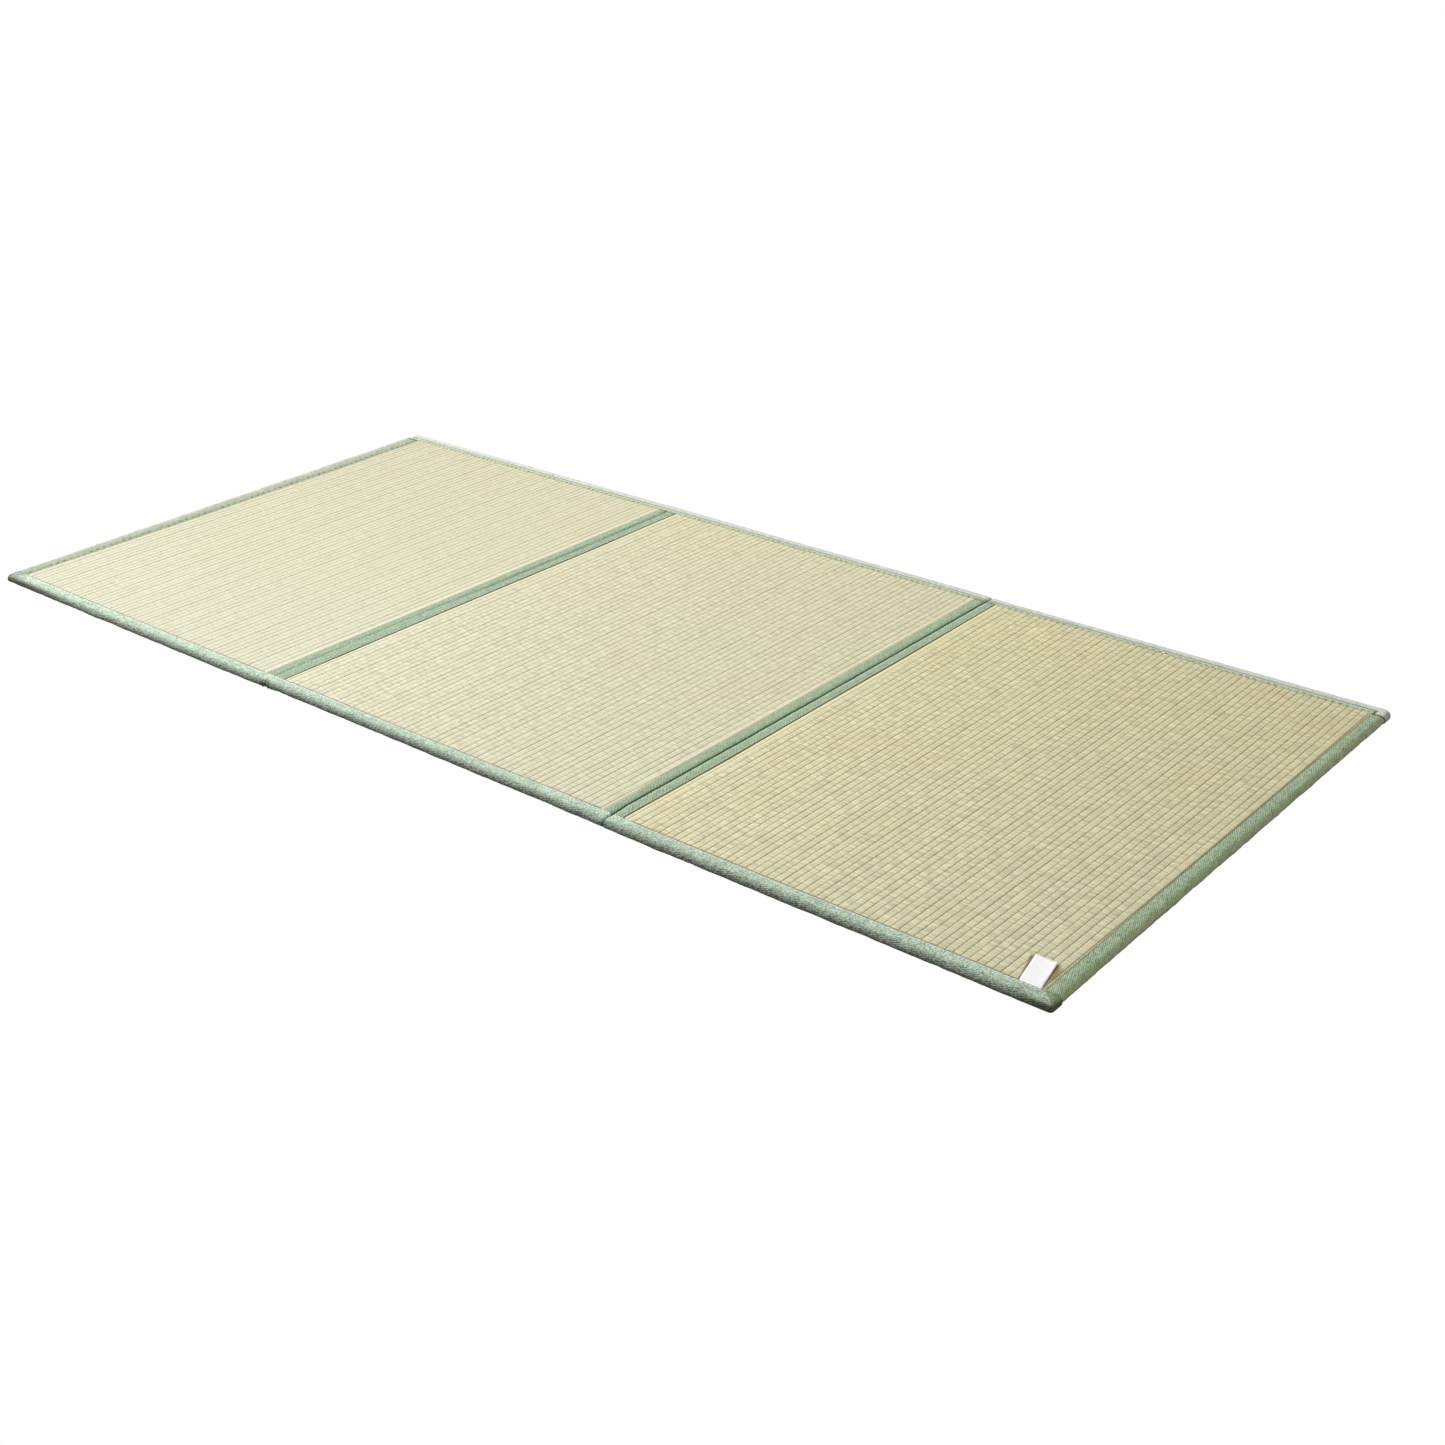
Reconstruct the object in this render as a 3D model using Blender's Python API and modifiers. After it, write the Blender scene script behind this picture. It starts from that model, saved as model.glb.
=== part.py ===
"""Tri-fold tatami mat, opened out flat on the floor.

Three ribbed rush panels lie side by side, edged and joined with strips of binding cloth.
X runs along the length, Y from the front edge to the back edge, and Z is up, with the floor at 0.
"""

import math
from collections import namedtuple

import bmesh
import bpy
import numpy as np

MM = 0.001

# Driving dimensions
LENGTH = 2007 * MM
THICKNESS = 12.7 * MM
CLOTH = 1.2 * MM
GAP = 0.3 * MM
HALF_LENGTH = LENGTH / 2

# Rush ribs, which run along Y
RIB_PITCH = 10.85 * MM
RIB_ALTERNATE_DROP = 0.15 * MM
RIB_SWELL = 0.15 * MM
RIB_SWELL_LENGTH_X = 170 * MM
RIB_SWELL_LENGTH_Y = 410 * MM
RIB_ROWS = 4
RibPoint = namedtuple("RibPoint", "share drop_mm")
RIB_PROFILE = (
    RibPoint(0.00, 1.0),
    RibPoint(0.20, 0.2),
    RibPoint(0.50, 0.0),
    RibPoint(0.80, 0.2),
)

# Flat edge of the cloth on top of the rush, and the rush pressed down beneath it
FLANGE_TOP = 11.9 * MM
SHELF_TOP = FLANGE_TOP - CLOTH - GAP
SHELF_BOTTOM = CLOTH + GAP

# Outer outline of the mat, which wanders a little because the panels lie slightly out of line
EdgePoint = namedtuple("EdgePoint", "x_mm front_mm back_mm")
OUTLINE = (
    EdgePoint(-1003.5, -494.8, 492.6),
    EdgePoint(-700.0, -495.1, 493.0),
    EdgePoint(-380.0, -495.3, 493.8),
    EdgePoint(-334.0, -493.2, 494.8),
    EdgePoint(-290.0, -492.0, 495.3),
    EdgePoint(-60.0, -491.8, 492.6),
    EdgePoint(205.0, -492.2, 494.8),
    EdgePoint(315.0, -492.6, 493.8),
    EdgePoint(370.0, -495.0, 490.2),
    EdgePoint(700.0, -494.8, 490.8),
    EdgePoint(1003.5, -495.2, 491.8),
)
OUTLINE_STEP = 110 * MM
FRONT_SEAM_Y = -473.3 * MM
BACK_SEAM_Y = 462.4 * MM
CornerRadius = namedtuple("CornerRadius", "front_mm back_mm")
LEFT_CORNERS = CornerRadius(10.0, 6.0)
RIGHT_CORNERS = CornerRadius(7.0, 13.0)

# Inner edges of the end strips
EndPoint = namedtuple("EndPoint", "y_mm left_mm right_mm")
END_SEAMS = (
    EndPoint(-500.0, -972.1, 980.7),
    EndPoint(-230.0, -969.6, 980.5),
    EndPoint(0.0, -967.2, 981.0),
    EndPoint(230.0, -965.8, 981.3),
    EndPoint(500.0, -966.7, 981.9),
)

# Fold lines: the inner edges of the cloth on each side, and the fold itself
FoldPoint = namedtuple("FoldPoint", "y_mm left_mm middle_mm right_mm")
LEFT_FOLD = (
    FoldPoint(-500.0, -351.0, -334.8, -313.7),
    FoldPoint(-276.0, -349.2, -336.2, -312.4),
    FoldPoint(-113.0, -347.6, -335.2, -311.1),
    FoldPoint(0.0, -344.8, -332.0, -309.7),
    FoldPoint(213.0, -341.4, -328.0, -306.7),
    FoldPoint(500.0, -340.4, -327.3, -305.2),
)
RIGHT_FOLD = (
    FoldPoint(-500.0, 317.5, 340.0, 356.5),
    FoldPoint(-440.0, 318.0, 337.4, 356.6),
    FoldPoint(-300.0, 320.3, 339.2, 359.2),
    FoldPoint(-170.0, 321.4, 340.2, 359.5),
    FoldPoint(0.0, 322.3, 341.4, 359.8),
    FoldPoint(210.0, 321.9, 341.5, 359.9),
    FoldPoint(500.0, 322.6, 340.8, 359.0),
)

# Section of the cloth rolled round an edge, from the flat edge on top to the one underneath
RollPoint = namedtuple("RollPoint", "inset_mm z_mm")
ROLL = (
    RollPoint(23.0, 11.7),
    RollPoint(15.0, 12.4),
    RollPoint(9.5, 12.6),
    RollPoint(5.5, 11.9),
    RollPoint(2.6, 10.2),
    RollPoint(0.8, 7.8),
    RollPoint(0.0, 5.0),
    RollPoint(0.8, 2.4),
    RollPoint(2.8, 0.6),
    RollPoint(6.0, 0.0),
)
ROLL_TOP_POINTS = 3
ROLL_FULL_WIDTH = 26.0 * MM
CORNER_REACH = 8.0 * MM
SMALLEST_TURN = 0.4 * MM

# How a long strip is drawn down into a fold, by distance from the fold line
NotchPoint = namedtuple("NotchPoint", "offset_mm share draw_in_mm")
NOTCH = (
    NotchPoint(0.0, 0.78, 4.0),
    NotchPoint(1.6, 0.60, 2.5),
    NotchPoint(3.0, 0.25, 1.0),
    NotchPoint(5.0, 0.06, 0.2),
    NotchPoint(10.0, 0.00, 0.0),
)
NOTCH_FLOOR = 1.6 * MM
NOTCH_CEILING = 10.6 * MM

# Half section of the cloth at the right fold, whose gap is open on top
SlotPoint = namedtuple("SlotPoint", "offset_mm z_mm")
SLOT_FACE = (
    SlotPoint(8.0, 12.5),
    SlotPoint(5.0, 12.1),
    SlotPoint(3.2, 10.9),
    SlotPoint(2.2, 9.0),
    SlotPoint(1.7, 6.0),
    SlotPoint(1.2, 3.0),
)
SLOT_BACK = (
    SlotPoint(8.0, 11.2),
    SlotPoint(5.9, 11.0),
    SlotPoint(4.3, 10.0),
    SlotPoint(3.4, 8.6),
    SlotPoint(2.9, 6.0),
    SlotPoint(2.5, 2.6),
)
SLOT_END_Z = 2.0 * MM

# Half section of the shallow valley on top of the left fold, whose gap is open underneath
VALLEY = (
    SlotPoint(11.0, 12.3),
    SlotPoint(3.0, 12.0),
    SlotPoint(0.0, 11.4),
)

# Rings of a panel's core, from the bottom up, with the inset at a bound edge and at each kind of fold
CoreRing = namedtuple("CoreRing", "z_mm edge_mm open_top_mm open_bottom_mm")
CORE_RINGS = (
    CoreRing(SHELF_BOTTOM / MM, 6.3, 2.8, 10.5),
    CoreRing(3.4, 2.9, 3.0, 4.8),
    CoreRing(5.3, 2.0, 3.3, 3.7),
    CoreRing(7.2, 2.5, 3.7, 3.3),
    CoreRing(9.0, 4.2, 4.8, 3.0),
    CoreRing(SHELF_TOP / MM, 7.0, 10.5, 2.8),
)
CORE_FOLD_CORNER = 5.0 * MM
CORE_CORNER_ROOM = 20.0 * MM
CORNER_STEPS = 4
CUTTER_TOP = 25.0 * MM
SHARP_ANGLE_DEG = 35

# Label tab: leaning, caught at the front strip's edge and lying over the ribs
LABEL_WIDTH = 27 * MM
LABEL_THICKNESS = 1.0 * MM
LABEL_ROOT_X = 962.3 * MM
LABEL_TIP_X = 951.6 * MM
LABEL_POCKET_DEPTH = 7.0 * MM
LabelPoint = namedtuple("LabelPoint", "along_mm z_mm")
LABEL_PATH = (
    LabelPoint(0.0, 11.2),
    LabelPoint(2.0, 11.4),
    LabelPoint(5.0, 13.3),
    LabelPoint(9.0, 13.5),
    LabelPoint(25.0, 13.5),
    LabelPoint(42.0, 13.7),
    LabelPoint(56.0, 14.2),
)
LABEL_COLUMNS = 4
LABEL_SAG = 0.25 * MM

# Colours are linear red, green and blue
Finish = namedtuple("Finish", "colour roughness")
RUSH_PALE = Finish((0.71, 0.68, 0.48), 0.7)
RUSH_MID = Finish((0.66, 0.63, 0.43), 0.7)
RUSH_OLIVE = Finish((0.58, 0.56, 0.37), 0.7)
SAGE_CLOTH = Finish((0.36, 0.47, 0.37), 0.85)
WHITE_CLOTH = Finish((0.85, 0.85, 0.86), 0.8)


def clear_scene():
    for item in list(bpy.data.objects):
        bpy.data.objects.remove(item, do_unlink=True)


def make_material(name, finish):
    material = bpy.data.materials.new(name)
    material.use_nodes = True
    shader = material.node_tree.nodes["Principled BSDF"]
    shader.inputs["Base Color"].default_value = (*finish.colour, 1.0)
    shader.inputs["Roughness"].default_value = finish.roughness
    shader.inputs["Metallic"].default_value = 0.0
    return material


def make_collection(name):
    collection = bpy.data.collections.new(name)
    bpy.context.scene.collection.children.link(collection)
    return collection


def make_object(name, mesh_builder, collection, material=None, closed=True):
    """Turn a bmesh into an object. A closed one gets its faces pointing outwards."""
    if closed:
        bmesh.ops.recalc_face_normals(mesh_builder, faces=mesh_builder.faces)
    mesh = bpy.data.meshes.new(name)
    mesh_builder.to_mesh(mesh)
    mesh_builder.free()
    item = bpy.data.objects.new(name, mesh)
    collection.objects.link(item)
    if material:
        mesh.materials.append(material)
    return item


def table_value(table, key, column, at):
    """Read a column of a table in millimetres at one place, given and returned in metres."""
    keys = [getattr(row, key) * MM for row in table]
    values = [getattr(row, column) * MM for row in table]
    return float(np.interp(at, keys, values))


def front_edge(x):
    return table_value(OUTLINE, "x_mm", "front_mm", x)


def back_edge(x):
    return table_value(OUTLINE, "x_mm", "back_mm", x)


def fold_value(fold, column, y):
    return table_value(fold, "y_mm", column, y)


def end_seam(column, y):
    return table_value(END_SEAMS, "y_mm", column, y)


def grid_faces(mesh_builder, rows):
    """Join rows of points, all of one length, into an open surface of quads."""
    verts = [[mesh_builder.verts.new(point) for point in row] for row in rows]
    for lower, upper in zip(verts, verts[1:]):
        for first in range(len(lower) - 1):
            corners = (lower[first], lower[first + 1], upper[first + 1], upper[first])
            mesh_builder.faces.new(corners)


def loft_closed(rings):
    """Join closed rings of points, all of one length, and cap the first and the last."""
    mesh_builder = bmesh.new()
    verts = [[mesh_builder.verts.new(point) for point in ring] for ring in rings]
    for lower, upper in zip(verts, verts[1:]):
        for first in range(len(lower)):
            second = (first + 1) % len(lower)
            corners = (lower[first], lower[second], upper[second], upper[first])
            mesh_builder.faces.new(corners)
    mesh_builder.faces.new(reversed(verts[0]))
    mesh_builder.faces.new(verts[-1])
    return mesh_builder


def add_cloth_thickness(item):
    """Thicken an outer skin inwards to the thickness of the cloth."""
    thicken = item.modifiers.new("cloth", "SOLIDIFY")
    thicken.thickness = CLOTH
    thicken.offset = -1.0


def roll_section(seam_inset):
    """Insets and heights of the rolled cloth, for a flat edge that ends seam_inset from the outside."""
    squeeze = seam_inset / ROLL_FULL_WIDTH
    points = [(seam_inset, FLANGE_TOP)]
    for index, point in enumerate(ROLL):
        share = squeeze if index < ROLL_TOP_POINTS else 1.0
        points.append((point.inset_mm * MM * share, point.z_mm * MM))
    points.append((seam_inset, 0.0))
    return points


def notch_stations(fold_x):
    """Places along a long strip where it is drawn into a fold."""
    offsets = sorted({side * point.offset_mm * MM for point in NOTCH for side in (-1, 1)})
    return [fold_x + offset for offset in offsets]


def strip_stations(fold_xs, start, stop):
    """Places along a long strip: the folds' stations, the outline's own points and even steps between."""
    places = [x for fold_x in fold_xs for x in notch_stations(fold_x)]
    reach = NOTCH[-1].offset_mm * MM
    clear = [
        point.x_mm * MM
        for point in OUTLINE
        if start < point.x_mm * MM < stop
        and all(abs(point.x_mm * MM - fold_x) > 2 * reach for fold_x in fold_xs)
    ]
    places = sorted(places + clear + [start, stop])
    filled = []
    for here, there in zip(places, places[1:]):
        count = max(1, math.ceil((there - here) / OUTLINE_STEP))
        filled += [here + (there - here) * step / count for step in range(count)]
    return filled + [stop]


def notched(x, inset, z, fold_x, open_top):
    """Draw a point of the rolled cloth into the fold, from above or from below."""
    offsets = [point.offset_mm * MM for point in NOTCH]
    distance = abs(x - fold_x)
    share = float(np.interp(distance, offsets, [point.share for point in NOTCH]))
    draw_in = float(np.interp(distance, offsets, [point.draw_in_mm * MM for point in NOTCH]))
    if open_top:
        z -= share * max(0.0, z - NOTCH_FLOOR)
    else:
        z += share * max(0.0, NOTCH_CEILING - z)
    outer_share = max(0.0, 1.0 - inset / ROLL_FULL_WIDTH)
    return inset + draw_in * outer_share, z


def corner_path(inset, seam_inset, radius, reach):
    """Points of one ring round an outer corner, as distances in from the end and from the long edge.

    The path starts on the end at the seam's line, turns the corner and ends reach along the long edge.
    Rings near the seam are spread evenly, because their corner shrinks to a point there.
    """
    turn = min(max(radius - inset, SMALLEST_TURN), seam_inset - inset)
    along_end = seam_inset - inset - turn
    structured = [(inset, inset + turn + along_end * (1 - step / 2)) for step in range(2)]
    for step in range(CORNER_STEPS + 1):
        angle = math.pi / 2 * step / CORNER_STEPS
        structured.append((inset + turn * (1 - math.cos(angle)), inset + turn * (1 - math.sin(angle))))
    structured.append(((inset + turn + reach) / 2, inset))
    structured.append((reach, inset))
    lengths = np.cumsum([0.0] + [math.dist(a, b) for a, b in zip(structured, structured[1:])])
    even = np.linspace(0.0, lengths[-1], len(structured))
    blend = (inset / seam_inset) ** 2
    places = (1 - blend) * lengths + blend * even
    from_end = np.interp(places, lengths, [point[0] for point in structured])
    from_edge = np.interp(places, lengths, [point[1] for point in structured])
    return list(zip(from_end, from_edge))


def long_strip_skin(edge, seam_y, corners, folds):
    """Outer skin of a long strip: rings of points from the flat edge on top to the one underneath."""
    front = edge is front_edge
    inward = 1 if front else -1
    radii = [corner.front_mm * MM if front else corner.back_mm * MM for corner in corners]
    seam_inset = ROLL_FULL_WIDTH
    reach = seam_inset + CORNER_REACH
    fold_xs = [fold_value(fold, "middle_mm", seam_y) for fold, _ in folds]
    stations = strip_stations(fold_xs, -HALF_LENGTH + reach, HALF_LENGTH - reach)[1:-1]
    rows = []
    for inset, z in roll_section(seam_inset):
        row = []
        for side, radius in zip((-1, 1), radii):
            edge_y = edge(side * HALF_LENGTH)
            depth = abs(seam_y - edge_y)
            stretch = depth / seam_inset
            path = corner_path(inset, seam_inset, radius, reach)
            points = [
                (side * (HALF_LENGTH - from_end), edge_y + inward * from_edge * stretch, z)
                for from_end, from_edge in path
            ]
            if side < 0:
                row += points
                row += [
                    strip_point(x, inset, z, edge, seam_y, inward, fold_xs, folds) for x in stations
                ]
            else:
                row += reversed(points)
        rows.append(row)
    return rows


def strip_point(x, inset, z, edge, seam_y, inward, fold_xs, folds):
    """One point of a long strip's skin, stretched to reach from the outline to the seam."""
    for fold_x, (_, open_top) in zip(fold_xs, folds):
        inset, z = notched(x, inset, z, fold_x, open_top)
    depth = abs(seam_y - edge(x))
    return (x, edge(x) + inward * inset * depth / ROLL_FULL_WIDTH, z)


def make_long_strip(name, edge, seam_y, collection, material):
    mesh_builder = bmesh.new()
    folds = ((LEFT_FOLD, False), (RIGHT_FOLD, True))
    rows = long_strip_skin(edge, seam_y, (LEFT_CORNERS, RIGHT_CORNERS), folds)
    grid_faces(mesh_builder, rows)
    item = make_skin_object(name, mesh_builder, collection, material)
    add_cloth_thickness(item)
    return item


def make_skin_object(name, mesh_builder, collection, material):
    """Make an open skin an object whose faces all point out of the cloth roll."""
    item = make_object(name, mesh_builder, collection, material, closed=False)
    mesh = item.data
    upper = [face for face in mesh.polygons if face.center.z > THICKNESS / 2]
    if sum(face.normal.z * face.area for face in upper) < 0:
        mesh.flip_normals()
    return item


def make_end_strip(name, column, side, collection, material):
    """Strip round one end, between the seams of the two long strips."""
    start = FRONT_SEAM_Y + GAP
    stop = BACK_SEAM_Y - GAP
    inner = [point.y_mm * MM for point in END_SEAMS if start < point.y_mm * MM < stop]
    rows = []
    for y in [start, *inner, stop]:
        seam_inset = HALF_LENGTH - abs(end_seam(column, y))
        section = roll_section(seam_inset)
        rows.append([(side * (HALF_LENGTH - inset), y, z) for inset, z in section])
    mesh_builder = bmesh.new()
    grid_faces(mesh_builder, rows)
    item = make_skin_object(name, mesh_builder, collection, material)
    add_cloth_thickness(item)
    return item


def fold_section(left, right, spine=()):
    """Closed section of the cloth at a fold whose gap is open on top, as offsets from the fold and heights.

    The spine holds any points between the two flat edges on the closed side, from right to left.
    """
    face = [(point.offset_mm * MM, point.z_mm * MM) for point in SLOT_FACE]
    back = [(point.offset_mm * MM, point.z_mm * MM) for point in SLOT_BACK]
    right_half = [(right, FLANGE_TOP - CLOTH), *back, (back[-1][0], CLOTH), (right, CLOTH), (right, 0.0)]
    left_half = [(left, FLANGE_TOP - CLOTH), *back, (back[-1][0], CLOTH), (left, CLOTH), (left, 0.0)]
    top = [(-left, FLANGE_TOP)]
    top += [(-offset, z) for offset, z in face]
    top.append((0.0, SLOT_END_Z))
    top += reversed(face)
    top.append((right, FLANGE_TOP))
    return top + right_half + list(spine) + [(-offset, z) for offset, z in reversed(left_half)]


def closed_on_top(left, right):
    """The same section turned over: its gap is open underneath, with a shallow valley on top."""
    half = [(point.offset_mm * MM, FLANGE_TOP - point.z_mm * MM) for point in VALLEY]
    spine = half + [(-offset, z) for offset, z in reversed(half[:-1])]
    turned = []
    for offset, z in fold_section(left, right, spine):
        lining = CLOTH < z < FLANGE_TOP - CLOTH / 2
        lowest = CLOTH if lining else 0.0
        turned.append((offset, max(FLANGE_TOP - z, lowest)))
    return turned


def make_fold_band(name, fold, open_top, collection, material):
    """Cloth of one fold, lofted along the fold line between the seams of the long strips."""
    start = FRONT_SEAM_Y + GAP
    stop = BACK_SEAM_Y - GAP
    inner = [point.y_mm * MM for point in fold if start < point.y_mm * MM < stop]
    rings = []
    for y in [start, *inner, stop]:
        middle = fold_value(fold, "middle_mm", y)
        left = middle - fold_value(fold, "left_mm", y)
        right = fold_value(fold, "right_mm", y) - middle
        section = fold_section(left, right) if open_top else closed_on_top(left, right)
        rings.append([(middle + offset, y, z) for offset, z in section])
    return make_object(name, loft_closed(rings), collection, material)


def rib_height(x, y):
    """Height of the rush at a place: crowned ribs along Y, every second one a little lower."""
    ribs = x / RIB_PITCH
    number = math.floor(ribs)
    shares = [point.share for point in RIB_PROFILE] + [1.0]
    drops = [point.drop_mm * MM for point in RIB_PROFILE] + [RIB_PROFILE[0].drop_mm * MM]
    drop = float(np.interp(ribs - number, shares, drops))
    swell = math.sin(x / RIB_SWELL_LENGTH_X) * math.cos(y / RIB_SWELL_LENGTH_Y)
    return THICKNESS - drop - RIB_ALTERNATE_DROP * (number % 2) - RIB_SWELL * (1 + swell)


def ribbed_slab(low_x, high_x):
    """Slab with a ribbed top, a little larger than a panel's bare rush."""
    first = math.floor(low_x / RIB_PITCH)
    last = math.ceil(high_x / RIB_PITCH)
    xs = [(rib + point.share) * RIB_PITCH for rib in range(first, last) for point in RIB_PROFILE]
    ys = np.linspace(FRONT_SEAM_Y - CLOTH, BACK_SEAM_Y + CLOTH, RIB_ROWS)
    mesh_builder = bmesh.new()
    grid_faces(mesh_builder, [[(x, y, rib_height(x, y)) for x in xs] for y in ys])
    border = [edge for edge in mesh_builder.edges if edge.is_boundary]
    skirt = bmesh.ops.extrude_edge_only(mesh_builder, edges=border)["geom"]
    for vert in (element for element in skirt if isinstance(element, bmesh.types.BMVert)):
        vert.co.z = SHELF_BOTTOM + CLOTH
    open_edges = [edge for edge in mesh_builder.edges if edge.is_boundary]
    bmesh.ops.contextual_create(mesh_builder, geom=open_edges)
    return mesh_builder


def side_points(side_x, sign):
    """The inner edge of the cloth beside a panel, as plan points from front to back."""
    ys = [FRONT_SEAM_Y + GAP]
    ys += [y for y in (point.y_mm * MM for point in LEFT_FOLD) if ys[0] < y < BACK_SEAM_Y - GAP]
    ys.append(BACK_SEAM_Y - GAP)
    return [(side_x(y) + sign * GAP, y) for y in ys]


def window_prism(left_x, right_x, bottom, top):
    """Prism over a panel's bare rush, between the inner edges of the cloth all round."""
    outline = side_points(right_x, -1) + side_points(left_x, 1)[::-1]
    return loft_closed([[(x, y, z) for x, y in outline] for z in (bottom, top)])


def rounded_corner(x, y, toward_x, toward_y, radius):
    """Arc round a plan corner, from the side that runs along X to the side that runs along Y."""
    points = []
    for step in range(CORNER_STEPS + 1):
        angle = math.pi / 2 * step / CORNER_STEPS
        points.append(
            (
                x + toward_x * radius * (1 - math.sin(angle)),
                y + toward_y * radius * (1 - math.cos(angle)),
            )
        )
    return points


PanelSide = namedtuple("PanelSide", "outer_x inset_column corners fold")


def core_corner(ring, side, toward_x, which):
    """Arc of points round one plan corner of a panel's core, anticlockwise seen from above."""
    front = which == "front_mm"
    inset = getattr(ring, side.inset_column) * MM
    edge = ring.edge_mm * MM
    x = side.outer_x(FRONT_SEAM_Y if front else BACK_SEAM_Y) + toward_x * inset
    y = front_edge(x) + edge if front else back_edge(x) - edge
    radius = CORE_FOLD_CORNER
    if side.corners:
        radius = max(getattr(side.corners, which) * MM - edge, CORE_FOLD_CORNER)
    arc = rounded_corner(x, y, toward_x, 1 if front else -1, radius)
    starts_on_side = (toward_x > 0) == front
    return arc[::-1] if starts_on_side else arc


def core_side(ring, side, toward_x):
    """Points of a panel's core along one side, from front to back."""
    inset = getattr(ring, side.inset_column) * MM
    ys = [FRONT_SEAM_Y, BACK_SEAM_Y]
    ys += [point.y_mm * MM for point in side.fold if FRONT_SEAM_Y < point.y_mm * MM < BACK_SEAM_Y]
    return [(side.outer_x(y) + toward_x * inset, y) for y in sorted(ys)]


def core_ring(ring, left, right):
    """Plan outline of a panel's core at one height, anticlockwise from the front left corner."""
    edge = ring.edge_mm * MM
    low_x = left.outer_x(0.0) + CORE_CORNER_ROOM
    high_x = right.outer_x(0.0) - CORE_CORNER_ROOM
    xs = [point.x_mm * MM for point in OUTLINE if low_x < point.x_mm * MM < high_x]
    outline = core_corner(ring, left, 1, "front_mm")
    outline += [(x, front_edge(x) + edge) for x in xs]
    outline += core_corner(ring, right, -1, "front_mm")
    outline += core_side(ring, right, -1)
    outline += core_corner(ring, right, -1, "back_mm")
    outline += [(x, back_edge(x) - edge) for x in reversed(xs)]
    outline += core_corner(ring, left, 1, "back_mm")
    outline += reversed(core_side(ring, left, 1))
    return [(x, y, ring.z_mm * MM) for x, y in outline]


def make_core(name, left, right, collection):
    rings = [core_ring(ring, left, right) for ring in CORE_RINGS]
    return make_object(name, loft_closed(rings), collection)


def combine(item, other, operation):
    """Join, cut or intersect one solid with a helper."""
    step = item.modifiers.new(operation.lower(), "BOOLEAN")
    step.operation = operation
    step.solver = "EXACT"
    step.object = other


def hide_helper(item):
    item.hide_render = True
    item.display_type = "WIRE"


def make_panel(name, left, right, seams, collection, helpers, material):
    """One rush panel: a ribbed face inside the cloth's edges, and a core that runs on beneath the cloth."""
    left_x, right_x = seams
    low_x = min(x for x, _ in side_points(left_x, 1))
    high_x = max(x for x, _ in side_points(right_x, -1))
    item = make_object(name, ribbed_slab(low_x, high_x), collection, material)
    window = make_object(
        name + "_window", window_prism(left_x, right_x, CLOTH, CUTTER_TOP), helpers
    )
    foot = make_object(
        name + "_foot", window_prism(left_x, right_x, 0.0, SHELF_TOP - CLOTH), helpers
    )
    core = make_core(name + "_core", left, right, helpers)
    combine(item, window, "INTERSECT")
    combine(item, foot, "UNION")
    combine(item, core, "UNION")
    for helper in (window, foot, core):
        hide_helper(helper)
    return item


def label_centre(along):
    length = LABEL_PATH[-1].along_mm * MM
    return LABEL_ROOT_X + (LABEL_TIP_X - LABEL_ROOT_X) * along / length


def make_label(collection, material):
    """Blank label tab: a thin cloth sheet whose root dips to the strip's edge."""
    rows = []
    for point in LABEL_PATH:
        along = point.along_mm * MM
        row = []
        for column in range(LABEL_COLUMNS + 1):
            across = column / LABEL_COLUMNS - 0.5
            sag = LABEL_SAG * math.cos(math.pi * across) * along / (LABEL_PATH[-1].along_mm * MM)
            x = label_centre(along) + across * LABEL_WIDTH
            row.append((x, FRONT_SEAM_Y + GAP + along, point.z_mm * MM - sag + LABEL_THICKNESS / 2))
        rows.append(row)
    mesh_builder = bmesh.new()
    grid_faces(mesh_builder, rows)
    item = make_skin_object("label_tab", mesh_builder, collection, material)
    thicken = item.modifiers.new("cloth", "SOLIDIFY")
    thicken.thickness = LABEL_THICKNESS
    thicken.offset = -1.0
    return item


def make_label_pocket(helpers):
    """Shallow cut in the right panel's front ribs, where the label's root dips."""
    low_x = label_centre(LABEL_POCKET_DEPTH) - LABEL_WIDTH / 2 - GAP
    high_x = label_centre(0.0) + LABEL_WIDTH / 2 + GAP
    low_y = FRONT_SEAM_Y
    high_y = FRONT_SEAM_Y + LABEL_POCKET_DEPTH
    mesh_builder = bmesh.new()
    bmesh.ops.create_cube(mesh_builder, size=1.0)
    centre = ((low_x + high_x) / 2, (low_y + high_y) / 2, SHELF_TOP + THICKNESS / 2)
    size = (high_x - low_x, high_y - low_y, THICKNESS)
    for vert in mesh_builder.verts:
        vert.co = [middle + share * width for middle, share, width in zip(centre, vert.co, size)]
    pocket = make_object("label_pocket", mesh_builder, helpers)
    hide_helper(pocket)
    return pocket


def shade(item):
    item.data.shade_smooth()
    item.data.set_sharp_from_angle(angle=math.radians(SHARP_ANGLE_DEG))


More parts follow.
